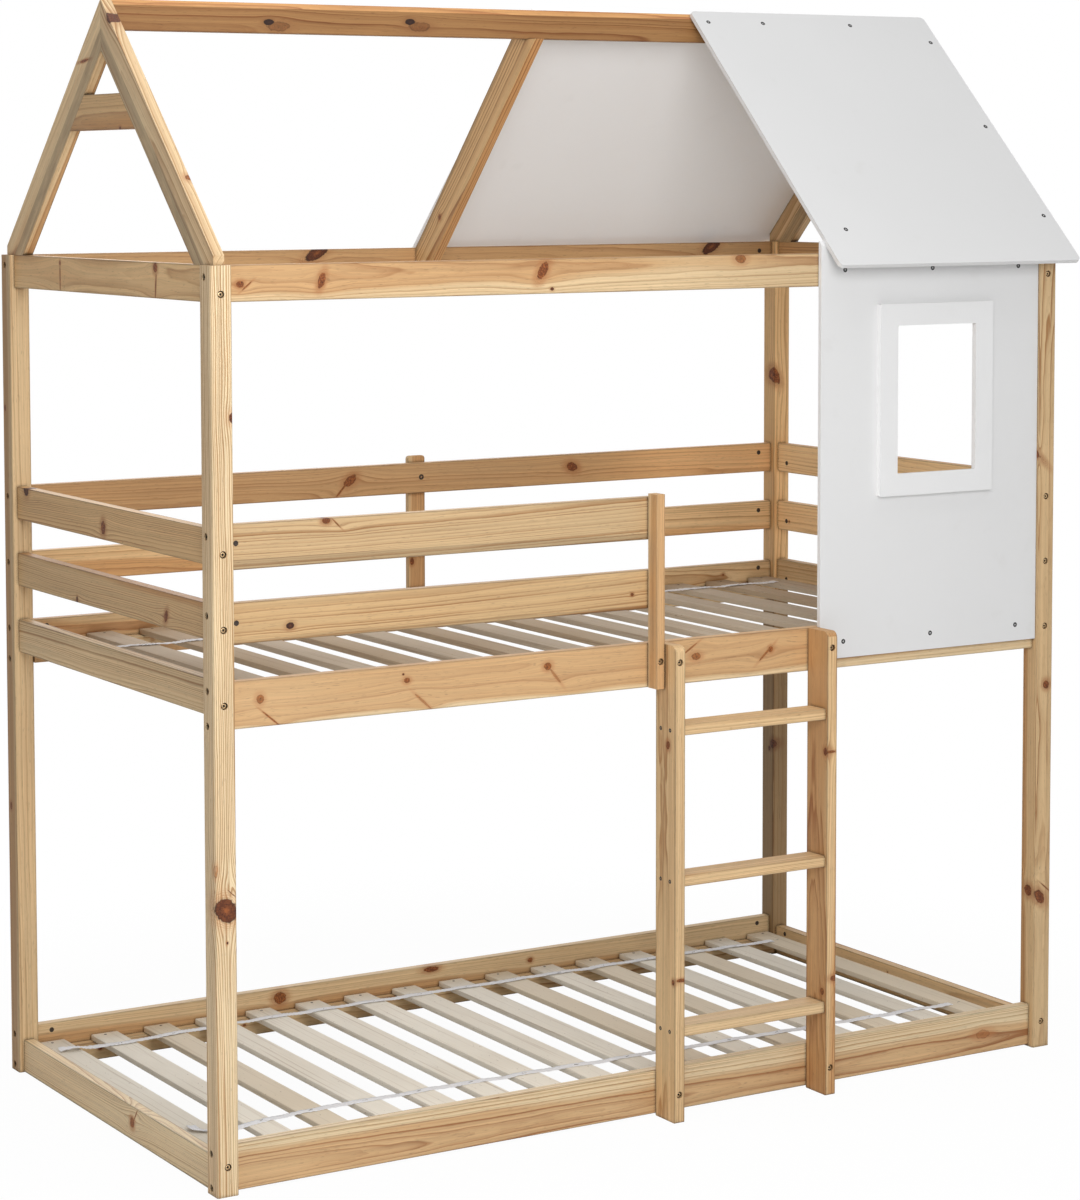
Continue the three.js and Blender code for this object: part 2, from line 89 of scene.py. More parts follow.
class Wiring:
    # A short way to lay nodes: values may be sockets, numbers, vectors or colours
    def __init__(self, tree):
        self.tree = tree

    def feed(self, socket, value):
        if isinstance(value, bpy.types.NodeSocket):
            self.tree.links.new(value, socket)
        elif value is not None:
            socket.default_value = value

    def node(self, kind, inputs=None, **settings):
        made = self.tree.nodes.new(kind)
        for key, value in settings.items():
            setattr(made, key, value)
        for key, value in (inputs or {}).items():
            self.feed(made.inputs[key], value)
        return made

    def math(self, operation, first, second=None, third=None, clamp=False):
        made = self.node("ShaderNodeMath", operation=operation, use_clamp=clamp)
        for index, value in enumerate((first, second, third)):
            self.feed(made.inputs[index], value)
        return made.outputs[0]

    def plus(self, first, second):
        return self.math("ADD", first, second)

    def minus(self, first, second):
        return self.math("SUBTRACT", first, second)

    def times(self, first, second, clamp=False):
        return self.math("MULTIPLY", first, second, clamp=clamp)

    def timesPlus(self, first, second, third, clamp=False):
        return self.math("MULTIPLY_ADD", first, second, third, clamp)

    def swing(self, value, amount, base, clamp=False):
        # A value about a half swings the base up and down
        return self.timesPlus(self.minus(value, 0.5), amount, base, clamp)

    def vector(self, operation, first, second=None):
        made = self.node("ShaderNodeVectorMath", operation=operation)
        self.feed(made.inputs[0], first)
        self.feed(made.inputs["Scale" if operation == "SCALE" else 1], second)
        return made.outputs["Value" if operation in ("DOT_PRODUCT", "LENGTH") else "Vector"]

    def noise(self, vector, scale, detail=2.0, roughness=0.5):
        made = self.node("ShaderNodeTexNoise", {
            "Vector": vector, "Scale": scale, "Detail": detail, "Roughness": roughness})
        return made.outputs[0]

    def cloud(self, vector, stretch, detail=2.0, roughness=0.5):
        # Noise with its own fineness along each axis
        return self.noise(self.vector("MULTIPLY", vector, stretch), 1.0, detail, roughness)

    def cloudShift(self, vector, stretch, detail):
        # The same as a shift, up to half a unit each way
        made = self.node("ShaderNodeTexNoise", {
            "Vector": self.vector("MULTIPLY", vector, stretch), "Scale": 1.0, "Detail": detail})
        return self.vector("SUBTRACT", made.outputs[1], (0.5, 0.5, 0.5))

    def varied(self, value):
        # A random number for each whole value
        return self.node("ShaderNodeTexWhiteNoise", {"W": value}, noise_dimensions="1D").outputs

    def mix(self, factor, first, second, blend="MIX"):
        made = self.node("ShaderNodeMix", data_type="RGBA", blend_type=blend)
        self.feed(made.inputs[0], factor)
        self.feed(made.inputs[6], first)
        self.feed(made.inputs[7], second)
        return made.outputs[2]

    def step(self, value, low, high, outLow=0.0, outHigh=1.0):
        made = self.node("ShaderNodeMapRange", interpolation_type="SMOOTHSTEP")
        for index, part in enumerate((value, low, high, outLow, outHigh)):
            self.feed(made.inputs[index], part)
        return made.outputs[0]

    def objectPlace(self):
        return self.node("ShaderNodeTexCoord").outputs["Object"]

    def split(self, vector):
        return self.node("ShaderNodeSeparateXYZ", {"Vector": vector}).outputs

    def join(self, x, y, z):
        made = self.node("ShaderNodeCombineXYZ")
        for index, value in enumerate((x, y, z)):
            self.feed(made.inputs[index], value)
        return made.outputs[0]


def newGroup(name, inputs, outputs):
    # An input that is given a number is a number, the others are vectors
    tree = bpy.data.node_groups.new(name, "ShaderNodeTree")
    for label, value in inputs.items():
        kind = "Vector" if value is None else "Float"
        socket = tree.interface.new_socket(name=label, in_out="INPUT", socket_type="NodeSocket" + kind)
        if value is not None:
            socket.default_value = value
    for label, kind in outputs.items():
        tree.interface.new_socket(name=label, in_out="OUTPUT", socket_type="NodeSocket" + kind)
    wires = Wiring(tree)
    return wires, wires.node("NodeGroupInput").outputs, wires.node("NodeGroupOutput").inputs


def newObject(name, data):
    made = bpy.data.objects.new(name, data)
    bpy.context.scene.collection.objects.link(made)
    return made


def newMaterial(name):
    made = bpy.data.materials.new(name)
    made.use_nodes = True
    made.node_tree.nodes.clear()
    return made, Wiring(made.node_tree)


def finishMaterial(wires, colour, roughness, height, distance, strength=1.0, **constants):
    bump = wires.node("ShaderNodeBump", {"Height": height, "Distance": distance, "Strength": strength})
    shader = wires.node("ShaderNodeBsdfPrincipled", {
        "Base Color": colour, "Roughness": roughness, "Normal": bump.outputs[0]})
    for key, value in constants.items():
        shader.inputs[key.replace("_", " ")].default_value = value
    wires.node("ShaderNodeOutputMaterial", {"Surface": shader.outputs[0]})


# Pine: its colours, how far the grain ripples and how deep it is brushed, in metres
pine = {
    "sapwood": rgb(228, 204, 164), "heartwood": rgb(208, 170, 124), "latewood": rgb(150, 96, 54),
    "sapLine": rgb(168, 124, 78), "endGrain": rgb(200, 164, 120),
    "knotCore": rgb(118, 60, 28), "knotPale": rgb(160, 102, 52), "knotEdge": rgb(50, 25, 14),
    "knotGlow": rgb(186, 108, 54), "knotEye": rgb(84, 42, 20), "knotStain": rgb(184, 122, 74),
    "ripple": 0.0032, "bump": 0.00035,
}


def pineKnotGroup():
    # One knot: keeps the nearest knot's distance in knot radii and its tone, and pushes the grain aside
    wires, given, result = newGroup("pineKnot", {
        "Point": None, "Nearest": 9.0, "Tone": 0.5, "Push": None,
        "Centre": None, "Size": None, "Reach": None, "OwnTone": 0.5, "Lean": 0.0,
    }, {"Nearest": "Float", "Tone": "Float", "Push": "Vector"})
    away = wires.vector("SUBTRACT", given["Point"], given["Centre"])
    leaning = wires.times(wires.split(away)[1], given["Lean"])
    leant = wires.vector("ADD", away, wires.join(leaning, 0.0, 0.0))
    near = wires.vector("LENGTH", wires.vector("MULTIPLY", leant, given["Size"]))
    wide = wires.vector("LENGTH", wires.vector("MULTIPLY", leant, given["Reach"]))
    fall = wires.math("POWER", wires.timesPlus(wide, wide, 1.0), -2.0)
    pushed = wires.vector("SCALE", away, wires.times(fall, -0.9))
    closer = wires.math("LESS_THAN", near, given["Nearest"])
    tone = wires.timesPlus(closer, wires.minus(given["OwnTone"], given["Tone"]), given["Tone"])
    wires.feed(result["Nearest"], wires.math("MINIMUM", near, given["Nearest"]))
    wires.feed(result["Tone"], tone)
    wires.feed(result["Push"], wires.vector("ADD", pushed, given["Push"]))
    return wires.tree


def growthRings(wires, given, radius, seeded):
    # Years differ in width and in how dark their latewood is
    seedX = wires.split(given["Seed"])[0]
    yearly = wires.noise(wires.join(wires.timesPlus(radius, 70.0, seedX), seedX, 0.0), 1.0, 1.0)
    rings = wires.timesPlus(yearly, 4.0, wires.math("DIVIDE", radius, given["Spacing"]))
    year = wires.math("FLOOR", rings)
    within = wires.math("FRACT", rings)
    yearTone = wires.varied(wires.plus(year, seedX))[0]
    profile = wires.times(wires.math("POWER", within, 3.4), wires.step(within, 1.0, 0.90))
    late = wires.times(profile, wires.timesPlus(yearTone, 0.9, 0.45))
    minor = wires.math("POWER", wires.math("FRACT", wires.times(rings, 2.7)), 3.0)
    late = wires.timesPlus(minor, 0.16, late)
    fade = wires.cloud(seeded, (2.6, 22.0, 22.0))
    late = wires.times(late, wires.step(fade, 0.22, 0.62, 0.45, 1.15))
    late = wires.times(late, wires.times(given["Contrast"], 1.25), clamp=True)
    return late


def markKnots(wires, given, colour, streak):
    # Knots: crowded dark grain round them, a dark rim, rings and checks inside
    point, tone = given["Point"], given["KnotTone"]
    ragged = wires.cloud(point, (190.0, 190.0, 190.0), 3.0, 0.6)
    lobes = wires.cloud(point, (85.0, 85.0, 85.0), 1.0)
    nearest = wires.swing(ragged, 0.38, given["Nearest"])
    swelling = wires.step(tone, 0.88, 0.98, 0.55, 0.20)
    nearest = wires.swing(lobes, swelling, nearest)
    whole = wires.step(tone, 0.90, 0.98)
    stain = wires.times(wires.step(nearest, 2.6, 0.95), wires.timesPlus(tone, 0.30, 0.34))
    stain = wires.times(stain, wires.timesPlus(whole, -0.55, 1.0))
    stain = wires.times(stain, wires.timesPlus(streak, 1.4, 0.3), clamp=True)
    colour = wires.mix(stain, colour, pine["knotStain"])
    bowed = wires.timesPlus(wires.math("SINE", wires.times(nearest, 34.0)), 0.5, 0.5)
    bowed = wires.times(wires.math("POWER", bowed, 2.5), wires.step(nearest, 2.1, 1.15, 0.0, 0.55))
    bowed = wires.times(bowed, wires.step(tone, 0.25, 0.60))
    bowed = wires.times(bowed, wires.step(streak, 0.35, 0.60, 0.3, 1.0))
    colour = wires.mix(bowed, colour, pine["latewood"])
    inside = wires.step(nearest, 1.05, 0.95)
    turns = wires.math("SINE", wires.times(nearest, 26.0))
    patchy = wires.step(wires.cloud(point, (300.0, 300.0, 300.0), 1.0), 0.46, 0.66)
    core = wires.mix(tone, pine["knotPale"], pine["knotCore"])
    for share, layer in (
        (wires.times(whole, 0.50), pine["knotEdge"]),
        (wires.timesPlus(turns, 0.12, 0.12), pine["knotEdge"]),
        (wires.step(nearest, 0.50, 0.0, 0.0, 0.45), wires.mix(whole, pine["knotEye"], pine["knotGlow"])),
        (wires.times(patchy, wires.timesPlus(whole, -0.45, 0.60)), pine["knotGlow"]),
        (wires.step(ragged, 0.60, 0.66, 0.0, 0.80), pine["knotEdge"]),
        (wires.step(tone, 1.0, 2.0, 0.0, 0.85), pine["knotEdge"]),
    ):
        core = wires.mix(share, core, layer)
    core = wires.mix(wires.step(tone, 0.05, 0.40, 0.40, 1.0), colour, core)
    colour = wires.mix(inside, colour, core)
    rim = wires.times(wires.step(nearest, 1.14, 1.02), wires.step(nearest, 0.82, 0.96))
    gap = wires.step(wires.cloud(point, (70.0, 70.0, 70.0), 0.0), 0.30, 0.62)
    rimTone = wires.times(wires.timesPlus(whole, 0.35, 0.35), wires.timesPlus(gap, 0.6, 0.4))
    rim = wires.times(rim, rimTone, clamp=True)
    colour = wires.mix(rim, colour, pine["knotEdge"])
    return colour, inside, rim


def shadeAndWearEdges(wires, given, colour, seeded):
    # End grain is darker and rougher; edges are darker with painted shade along their rounding and a little
    # wear
    colour = wires.mix(wires.times(given["EndGrain"], 0.35), colour, pine["endGrain"])
    inward = wires.vector("SUBTRACT", given["Half"], wires.vector("ABSOLUTE", given["Point"]))
    _, edgeAcross, edgeThrough = wires.split(inward)
    edge = wires.step(wires.math("MAXIMUM", edgeAcross, edgeThrough), 0.0034, 0.0004)
    edgeShadeAndWear = wires.cloud(seeded, (16.0, 80.0, 80.0))
    edge = wires.times(edge, wires.timesPlus(edgeShadeAndWear, 0.50, 0.12))
    shade = wires.times(wires.minus(1.0, edge), given["Tone"])
    return wires.vector("SCALE", colour, shade)


def pineGrainGroup():
    # Rings round a heart beside the board, with fibres, flecks, knots and worn edges
    wires, given, result = newGroup("pineGrain", {
        "Point": None, "Push": None, "Nearest": 9.0, "KnotTone": 0.5, "Heart": None, "Seed": None,
        "Spacing": 0.003, "Contrast": 1.0, "HeartwoodAt": 0.05, "Half": None, "EndGrain": 0.0,
        "Warmth": 0.0, "Tone": 1.0, "Wander": 0.016, "Strips": 0.0, "StripWidth": 0.0147,
    }, {"Color": "Color", "Roughness": "Float", "Height": "Float"})
    point = given["Point"]
    seeded = wires.vector("ADD", point, given["Seed"])
    # The grain wanders slowly along the board and is pushed aside by knots
    slow = wires.vector("SCALE", wires.cloudShift(seeded, (1.3, 4.0, 4.0), 1.0), given["Wander"])
    quick = wires.vector("SCALE", wires.cloudShift(seeded, (8.0, 42.0, 42.0), 2.0), pine["ripple"])
    shift = wires.vector("ADD", wires.vector("ADD", slow, quick), given["Push"])
    grain = wires.vector("ADD", point, wires.vector("MULTIPLY", shift, (0.0, 1.0, 1.0)))
    along, across, through = wires.split(wires.vector("SUBTRACT", grain, given["Heart"]))
    # Glued strips side by side, each with its own rings and tone
    strip = wires.math("DIVIDE", wires.split(point)[1], given["StripWidth"])
    strip = wires.math("FLOOR", wires.plus(strip, 0.5))
    stripTone = wires.varied(wires.plus(strip, wires.split(given["Seed"])[1]))[0]
    stripTone = wires.times(wires.minus(stripTone, 0.5), given["Strips"])
    across = wires.timesPlus(stripTone, 0.25, across)
    radius = wires.math("SQRT", wires.timesPlus(across, across, wires.times(through, through)))
    radius = wires.timesPlus(along, 0.007, radius)
    late = growthRings(wires, given, radius, seeded)
    # Sapwood turns to warmer heartwood towards the heart
    patch = wires.cloud(seeded, (1.5, 8.0, 8.0))
    heartEdge = wires.timesPlus(patch, 0.016, wires.minus(given["HeartwoodAt"], 0.008))
    heart = wires.step(radius, wires.plus(heartEdge, 0.003), wires.minus(heartEdge, 0.004))
    heart = wires.swing(patch, 0.7, heart, clamp=True)
    early = wires.mix(heart, pine["sapwood"], pine["heartwood"])
    dark = wires.mix(heart, pine["sapLine"], pine["latewood"])
    colour = wires.mix(wires.times(late, 0.9), early, dark)
    # Fine fibres, long streaks and short dark resin canals
    both = wires.vector("ADD", grain, given["Seed"])
    fibre = wires.cloud(both, (12.0, 1100.0, 1100.0), 2.0, 0.6)
    streak = wires.cloud(both, (1.5, 240.0, 240.0), 3.0, 0.6)
    canal = wires.step(wires.cloud(both, (60.0, 800.0, 800.0), 0.0), 0.70, 0.80)
    light = wires.swing(fibre, 0.30, 1.0)
    light = wires.swing(streak, 0.50, light)
    light = wires.timesPlus(canal, -0.25, light)
    broad = wires.cloud(seeded, (2.0, 3.0, 3.0))
    light = wires.swing(broad, 0.20, light)
    light = wires.plus(light, stripTone)
    # Painted shade, with some dirt in the joints: the colour darkens in joints, corners and recesses
    jointShade = wires.node("ShaderNodeAmbientOcclusion", {"Distance": 0.007}, samples=3).outputs["AO"]
    light = wires.times(light, wires.step(jointShade, 0.20, 0.90, 0.14, 1.0))
    colour = wires.vector("SCALE", colour, light)
    warm = wires.swing(patch, 0.6, given["Warmth"])
    colour = wires.vector("MULTIPLY", colour, wires.join(
        wires.timesPlus(warm, 0.03, 1.0), wires.timesPlus(warm, -0.05, 1.0),
        wires.timesPlus(warm, -0.14, 1.0)))
    colour, inside, rim = markKnots(wires, given, colour, streak)
    colour = shadeAndWearEdges(wires, given, colour, seeded)
    wires.feed(result["Color"], colour)
    rough = wires.timesPlus(fibre, 0.18, 0.46)
    rough = wires.timesPlus(late, -0.06, rough)
    wires.feed(result["Roughness"], wires.timesPlus(given["EndGrain"], 0.15, rough))
    height = wires.timesPlus(fibre, 0.35, wires.times(late, 0.5))
    height = wires.timesPlus(inside, 0.4, height)
    height = wires.timesPlus(rim, -0.8, height)
    wires.feed(result["Height"], wires.timesPlus(canal, -0.4, height))
    return wires.tree


knotGroup = pineKnotGroup()
grainGroup = pineGrainGroup()

# Knots in millimetres: place, radius, stretch along the grain, depth, tone from pale to dark, lean.
# A board with an empty list has none in view.
knots = {
    "post_front_left": [(22, 0, 532, 22, 0.98, 20, 1.0, 0.2), (45, 3, 1431, 10, 1.1, 9, 1.0),
        (24, 0, 472, 2, 1.3, 4, 1.7), (2, 0, 606, 4, 2.6, 8, 0.08),
        (34, 0, 562, 8, 0.12, 20, 1.0, 0.9)],
    "post_front_right": [(1938, 6, 1271, 6, 1.4, 22, 0.7, 0.9), (1963, 0, 782, 8, 1.1, 10, 0.8),
        (1950, 0, 326, 13, 1.0, 10, 0.9, 0.5), (1936, 20, 338, 11, 1.1, 12, 0.9),
        (1966, 0, 345, 12, 0.14, 10, 0.5, 0.8)],
    "post_back_left": [(0, 963, 560, 5, 1.6, 10, 0.6), (0, 968, 1390, 4, 1.5, 10, 0.8)],
    "post_back_right": [(1938, 937, 1390, 14, 1.2, 20, 0.85, 0.7), (1932, 940, 509, 7, 1.5, 20, 0.9),
        (1936, 950, 497, 4, 1.2, 12, 0.9)],
    "top_rail_front": [(235, 15, 1675, 14, 0.5, 30, 0.85, 0.3), (68, 15, 1671, 6, 1.3, 30, 0.8),
        (82, 15, 1668, 8, 0.3, 30, 0.4, 1.2), (713, 15, 1684, 17, 0.6, 30, 0.86, 0.4),
        (1176, 15, 1698, 8, 1.5, 30, 0.3), (734, 15, 1648, 3, 1.3, 30, 1.3)],
    "top_rail_left": [(11, 254, 1696, 9, 0.9, 30, 0.7), (11, 252, 1664, 22, 0.11, 30, 0.5, 0.1),
        (11, 700, 1694, 5, 0.7, 30, 0.6), (11, 700, 1666, 26, 0.09, 30, 0.4)],
    "top_rail_back": [(721, 950, 1698, 17, 1.2, 30, 1.0, 1.0), (1763, 950, 1696, 16, 1.2, 30, 1.0, 1.0)],
    "end_board_upper_left": [(11, 504, 1185, 13, 0.75, 30, 0.85), (11, 888, 1228, 14, 0.9, 30, 1.5)],
    "end_board_middle_left": [(11, 634, 1029, 7, 0.6, 30, 1.1), (11, 221, 1046, 11, 0.65, 30, 0.85, 0.3)],
    "end_board_base_left": [],
    "upper_rail_front": [(102, 15, 912, 8, 0.9, 30, 0.3), (124, 15, 874, 14, 0.16, 30, 0.6, -1.2),
        (411, 15, 920, 5, 1.3, 30, 0.6), (403, 15, 932, 2, 1.2, 30, 1.2),
        (446, 15, 877, 14, 0.24, 30, 0.2, -1.1), (723, 15, 921, 7, 1.2, 30, 0.5),
        (741, 15, 900, 14, 0.24, 30, 0.2, -0.8), (1052, 15, 926, 13, 0.24, 30, 0.3, 1.6),
        (1070, 15, 912, 7, 1.5, 30, 0.3), (1241, 15, 905, 14, 0.24, 30, 0.3, 1.1),
        (1253, 15, 912, 6, 0.9, 30, 0.6)],
    "front_guard_lower": [(165, 15, 1042, 6, 1.3, 30, 1.6), (918, 15, 1046, 3, 1.2, 30, 0.7)],
    "front_guard_upper": [(241, 15, 1232, 6, 1.4, 30, 0.8), (262, 15, 1226, 9, 0.2, 30, 0.3, -1.0)],
    "guard_post": [],
    "lower_rail_front": [(1810, 15, 44, 9, 2.0, 30, 0.12)],
    "lower_rail_left": [(11, 398, 35, 10, 0.9, 30, 0.6), (11, 384, 50, 14, 0.12, 30, 0.4, 0.7)],
    "lower_rail_back": [(618, 950, 71, 13, 1.1, 30, 0.6), (1000, 950, 84, 6, 3.0, 30, 0.8),
        (1262, 950, 71, 5, 1.3, 30, 0.6)],
    "ladder_stile_left": [(974.5, -27, 750, 6, 1.4, 12, 0.8), (974.5, -46, 281, 4, 1.4, 12, 0.9),
        (990, -52, 285, 3, 1.2, 12, 0.6)],
    "ladder_stile_right": [(1345, -45, 704, 6, 1.3, 12, 0.9), (1345, -38, 212, 6, 1.2, 12, 0.4),
        (1352, -52, 704, 9, 0.3, 12, 0.5), (1366, -50, 240, 5, 1.3, 12, 0.7)],
    "ladder_rung_1": [], "ladder_rung_2": [], "ladder_rung_3": [],
    "back_guard_upper": [(800, 950, 1198, 12, 1.1, 30, 0.7, 0.5), (780, 950, 1180, 16, 0.2, 30, 0.4, 0.9),
        (1377, 950, 1200, 10, 1.4, 30, 0.88, -0.3)],
    "back_guard_lower": [(1377, 950, 1055, 5, 1.3, 30, 0.6)],
    "back_guard_batten": [(968, 972, 1007, 5, 1.5, 20, 0.8)],
    "rafter_back_left": [(11, 570, 2090, 13, 0.3, 30, 0.9, -1.2)],
    "rafter_front_left": [(11, 448, 2172, 14, 1.0, 40, 1.0)],
    "collar_left": [(11, 405, 1957, 4, 1.2, 30, 0.9)],
    "ridge_beam": [(368, 479, 2168, 6, 1.9, 30, 2.0), (688, 479, 2175, 6, 1.9, 30, 2.0),
        (390, 479, 2160, 9, 2.6, 30, 0.2), (710, 479, 2166, 9, 2.6, 30, 0.2)],
}
slope = math.sqrt(0.5)
frontSlope, backSlope = Vector((0, slope, slope)), Vector((0, -slope, slope))
rafterGrain = {
    "rafter_front_left": frontSlope, "rafter_front_right": frontSlope,
    "rafter_back_left": backSlope, "rafter_back_right": backSlope,
    "rafter_back_middle": Vector((0, -448.5, 489)).normalized(),
}
rafterHalf = Vector((0.5, 0.035, 0.011))  # half of its length, depth and thickness


def pineLook(heart, spacing, contrast, heartwoodAt, warmth, tone, **others):
    # Heart of the log across and through the board, ring width, strength of the rings, radius of
    # the heartwood, warmth and tone, with lengths in metres. Others: wander of the grain, a band
    # of another tone along one edge, a fall of tone towards one end; on some boards the band and
    # the fall are painted shade
    return {"heart": heart, "spacing": spacing, "contrast": contrast, "heartwoodAt": heartwoodAt,
            "warmth": warmth, "tone": tone, **others}


boardLook = {
    "post_front_left": pineLook((-0.075, 0.06), 0.003, 3.0, 0.06, -0.6, 1.1, wander=0.006),
    "post_front_right": pineLook((0.02, 0.05), 0.0045, 0.9, 0.05, 1.2, 0.74),
    # Painted shade: the band leaves the left face darker than the rest of the post
    "post_back_left": pineLook((-0.04, 0.03), 0.005, 0.6, 0.045, 0.9, 0.66, band=(-0.0205, 0.0, 1.48, 0.0)),
    # Painted shade: the post is dark, its lower half much darker as if shaded by the upper bunk, and the band
    # leaves its left face darker
    "post_back_right": pineLook((0.03, 0.06), 0.005, 0.8, 0.05, 2.2, 0.31,
        band=(-0.0205, 0.0, 1.4, 0.0), fall=(0.0, 0.08, 1.0, 2.8)),
    "lower_rail_front": pineLook((0.016, 0.03), 0.0055, 1.3, 0.052, -0.4, 0.98),
    "lower_rail_back": pineLook((0.016, 0.035), 0.0045, 0.7, 0.055, 0.8, 0.93),
    "lower_rail_left": pineLook((-0.08, 0.03), 0.0034, 0.9, 0.03, -0.2, 1.08),
    "upper_rail_front": pineLook((-0.02, 0.035), 0.006, 0.34, 0.07, 0.2, 0.93, wander=0.008),
    # Painted shade: the band darkens the chamfer along the lower edge, which faces down
    "front_guard_upper": pineLook((-0.055, 0.035), 0.0045, 0.9, 0.02, 1.1, 0.745,
        band=(0.026, -0.0075, 0.74, 0.004)),
    "front_guard_lower": pineLook((-0.05, 0.04), 0.007, 1.1, 0.03, 1.7, 0.71, band=(0.03, 0.0, 0.8, 0.014)),
    "guard_post": pineLook((0.02, 0.02), 0.004, 0.8, 0.04, 0.5, 0.96),
    "end_board_base_left": pineLook((-0.06, 0.03), 0.0045, 1.3, 0.02, 0.7, 0.92,
        band=(0.012, 0.0, 0.86, 0.016)),
    "end_board_middle_left": pineLook((0.06, 0.05), 0.003, 1.0, 0.07, 1.6, 0.78),
    "end_board_upper_left": pineLook((-0.06, 0.05), 0.003, 1.0, 0.06, 2.0, 0.81),
    "top_rail_left": pineLook((0.01, 0.06), 0.004, 0.8, 0.05, 1.8, 0.94),
    "top_rail_front": pineLook((-0.02, 0.04), 0.005, 0.8, 0.055, 0.6, 0.89, fall=(0.0, 0.4, 1.0, 0.86)),
    "top_rail_back": pineLook((0.0, 0.05), 0.005, 0.6, 0.08, 1.0, 0.85),
    "back_guard_upper": pineLook((0.03, 0.03), 0.005, 0.5, 0.09, 1.0, 0.85, fall=(0.4, 0.72, 1.0, 1.6)),
    "back_guard_lower": pineLook((0.04, 0.04), 0.005, 0.7, 0.06, 1.5, 1.06),
    "back_guard_batten": pineLook((0.05, 0.04), 0.005, 0.35, 0.08, 1.2, 0.88),
    "ladder_stile_left": pineLook((0.0, 0.05), 0.0045, 0.8, 0.05, 1.3, 0.85),
    "ladder_stile_right": pineLook((0.0, 0.05), 0.0045, 0.8, 0.07, 1.4, 0.82),
    "ridge_beam": pineLook((0.025, 0.03), 0.006, 0.8, 0.07, 2.6, 0.98, band=(-0.019, 0.0, 0.55, 0.0)),
    "rafter_front_left": pineLook((-0.03, 0.03), 0.008, 1.6, 0.03, 0.6, 0.97),
    "rafter_back_left": pineLook((0.03, 0.05), 0.005, 0.6, 0.06, 0.8, 1.0),
    "rafter_back_middle": pineLook((0.03, 0.05), 0.006, 1.4, 0.06, 2.0, 0.95),
    "collar_left": pineLook((-0.02, 0.05), 0.004, 0.9, 0.06, 2.3, 0.84),
    "end_board_upper_right": pineLook((0.04, 0.05), 0.005, 0.6, 0.06, 1.3, 1.22),
    "end_board_middle_right": pineLook((-0.04, 0.05), 0.0045, 0.7, 0.06, 1.3, 1.28),
}


# What a board has by chance where nothing above says it, drawn in this order
chanceLook = {"heartAcross": (-0.05, 0.05), "heartThrough": (0.025, 0.07), "spacing": (0.0038, 0.0058),
              "contrast": (0.6, 1.0), "warmth": (0.7, 1.4), "heartwoodAt": (0.03, 0.08)}
commonLook = {"tone": 0.88, "wander": 0.016, "strips": 0.0, "stripWidth": 0.0147}
# Glued from strips: three in a post, two in a stile; their tones differ by this share
glued = {"post": 0.0147, "ladder_stile": 0.022, "share": 0.14}


def boardAxes(name, size):
    # The grain runs along the longest side; through is the thinnest, and front to back in a post
    if name in rafterGrain:
        return rafterGrain[name], Vector((1, 0, 0)), rafterHalf
    thin, wide, long = (1, 0, 2) if name.startswith("post") else sorted(range(3), key=lambda axis: size[axis])
    alongAxis, throughAxis = (Vector([float(i == axis) for i in range(3)]) for axis in (long, thin))
    return alongAxis, throughAxis, Vector((size[long], size[wide], size[thin])) / 2


# Knots by chance: metres between them, depth and radius in millimetres
strayKnots = {"apart": 0.42, "apartBehind": 0.7, "depthBehind": 9, "depth": (10, 30), "radius": (2.0, 6.0),
              "stretch": (1.0, 1.6), "tone": (0.3, 0.9)}


def boardKnots(name, draw, centre, axes, half):
    own = [(place(x, y, z), *rest) for x, y, z, *rest in knots.get(name, [])]
    listed = name in knots
    for _ in range(round(half.x * 2 / strayKnots["apartBehind" if listed else "apart"])):
        local = [draw.uniform(-0.95, 0.95) * half.x, draw.uniform(-0.5, 0.5) * half.y,
                 draw.uniform(-0.9, 0.9) * half.z]
        depth = draw.uniform(*strayKnots["depth"])
        if listed:
            # The list has all that the photo's side shows, so these lie on the other sides
            depth = strayKnots["depthBehind"]
            local[2] = half.z
            if name.startswith("post") and draw.random() < 0.5:
                local[1], local[2] = half.y, draw.uniform(-0.7, 0.7) * half.z
        spot = centre + axes[0] * local[0] + axes[1] * local[1] + axes[2] * local[2]
        radius, stretch = draw.uniform(*strayKnots["radius"]), draw.uniform(*strayKnots["stretch"])
        own.append((spot, radius, stretch, depth, draw.uniform(*strayKnots["tone"])))
    return own


def chainKnots(wires, point, found, centre, axes, half):
    # Each knot hands on the nearest so far
    running = {"Nearest": 9.0, "Tone": 0.5, "Push": (0.0, 0.0, 0.0)}
    for spot, radius, stretch, depth, tone, *lean in found:
        local = Vector([(spot - centre).dot(axis) for axis in axes])
        flat, deep = 1000 / radius, 1000 / depth
        onFace = half.z / half.y < 0.8 or abs(local.z) >= abs(local.y)
        sizes = (flat / stretch, flat, deep) if onFace else (flat / stretch, deep, flat)
        # The grain bends out to two radii across, and twice as far along the board
        knot = wires.node("ShaderNodeGroup", {
            "Point": point, "Centre": tuple(local), "Size": sizes, "OwnTone": tone,
            "Reach": (0.26 * flat, 0.52 * flat, 0.52 * flat), "Lean": lean[0] if lean else 0.0,
            **running}, node_tree=knotGroup)
        running = {label: knot.outputs[label] for label in running}
    return running


def boardTone(wires, look, point):
    tone = look["tone"]
    if "band" in look:
        # The band's start across the board, its slope along it, tone and waver;
        # on some boards its tone is painted shade
        start, lean, shade, swing = look["band"]
        along, across, _ = wires.split(point)
        waver = wires.cloud(point, (9.0, 30.0, 30.0))
        line = wires.timesPlus(along, -lean, start)
        line = wires.swing(waver, swing, line)
        strip = wires.step(wires.minus(across, line), -0.0008, 0.0008)
        tone = wires.timesPlus(strip, look["tone"] * (shade - 1), look["tone"])
    if "fall" in look:
        # Lighter or darker towards one end: where that begins and ends along the board, and both tones;
        # on one post this is painted shade
        begin, finish, first, last = look["fall"]
        tone = wires.times(wires.step(wires.split(point)[0], begin, finish, first, last), tone)
    return tone


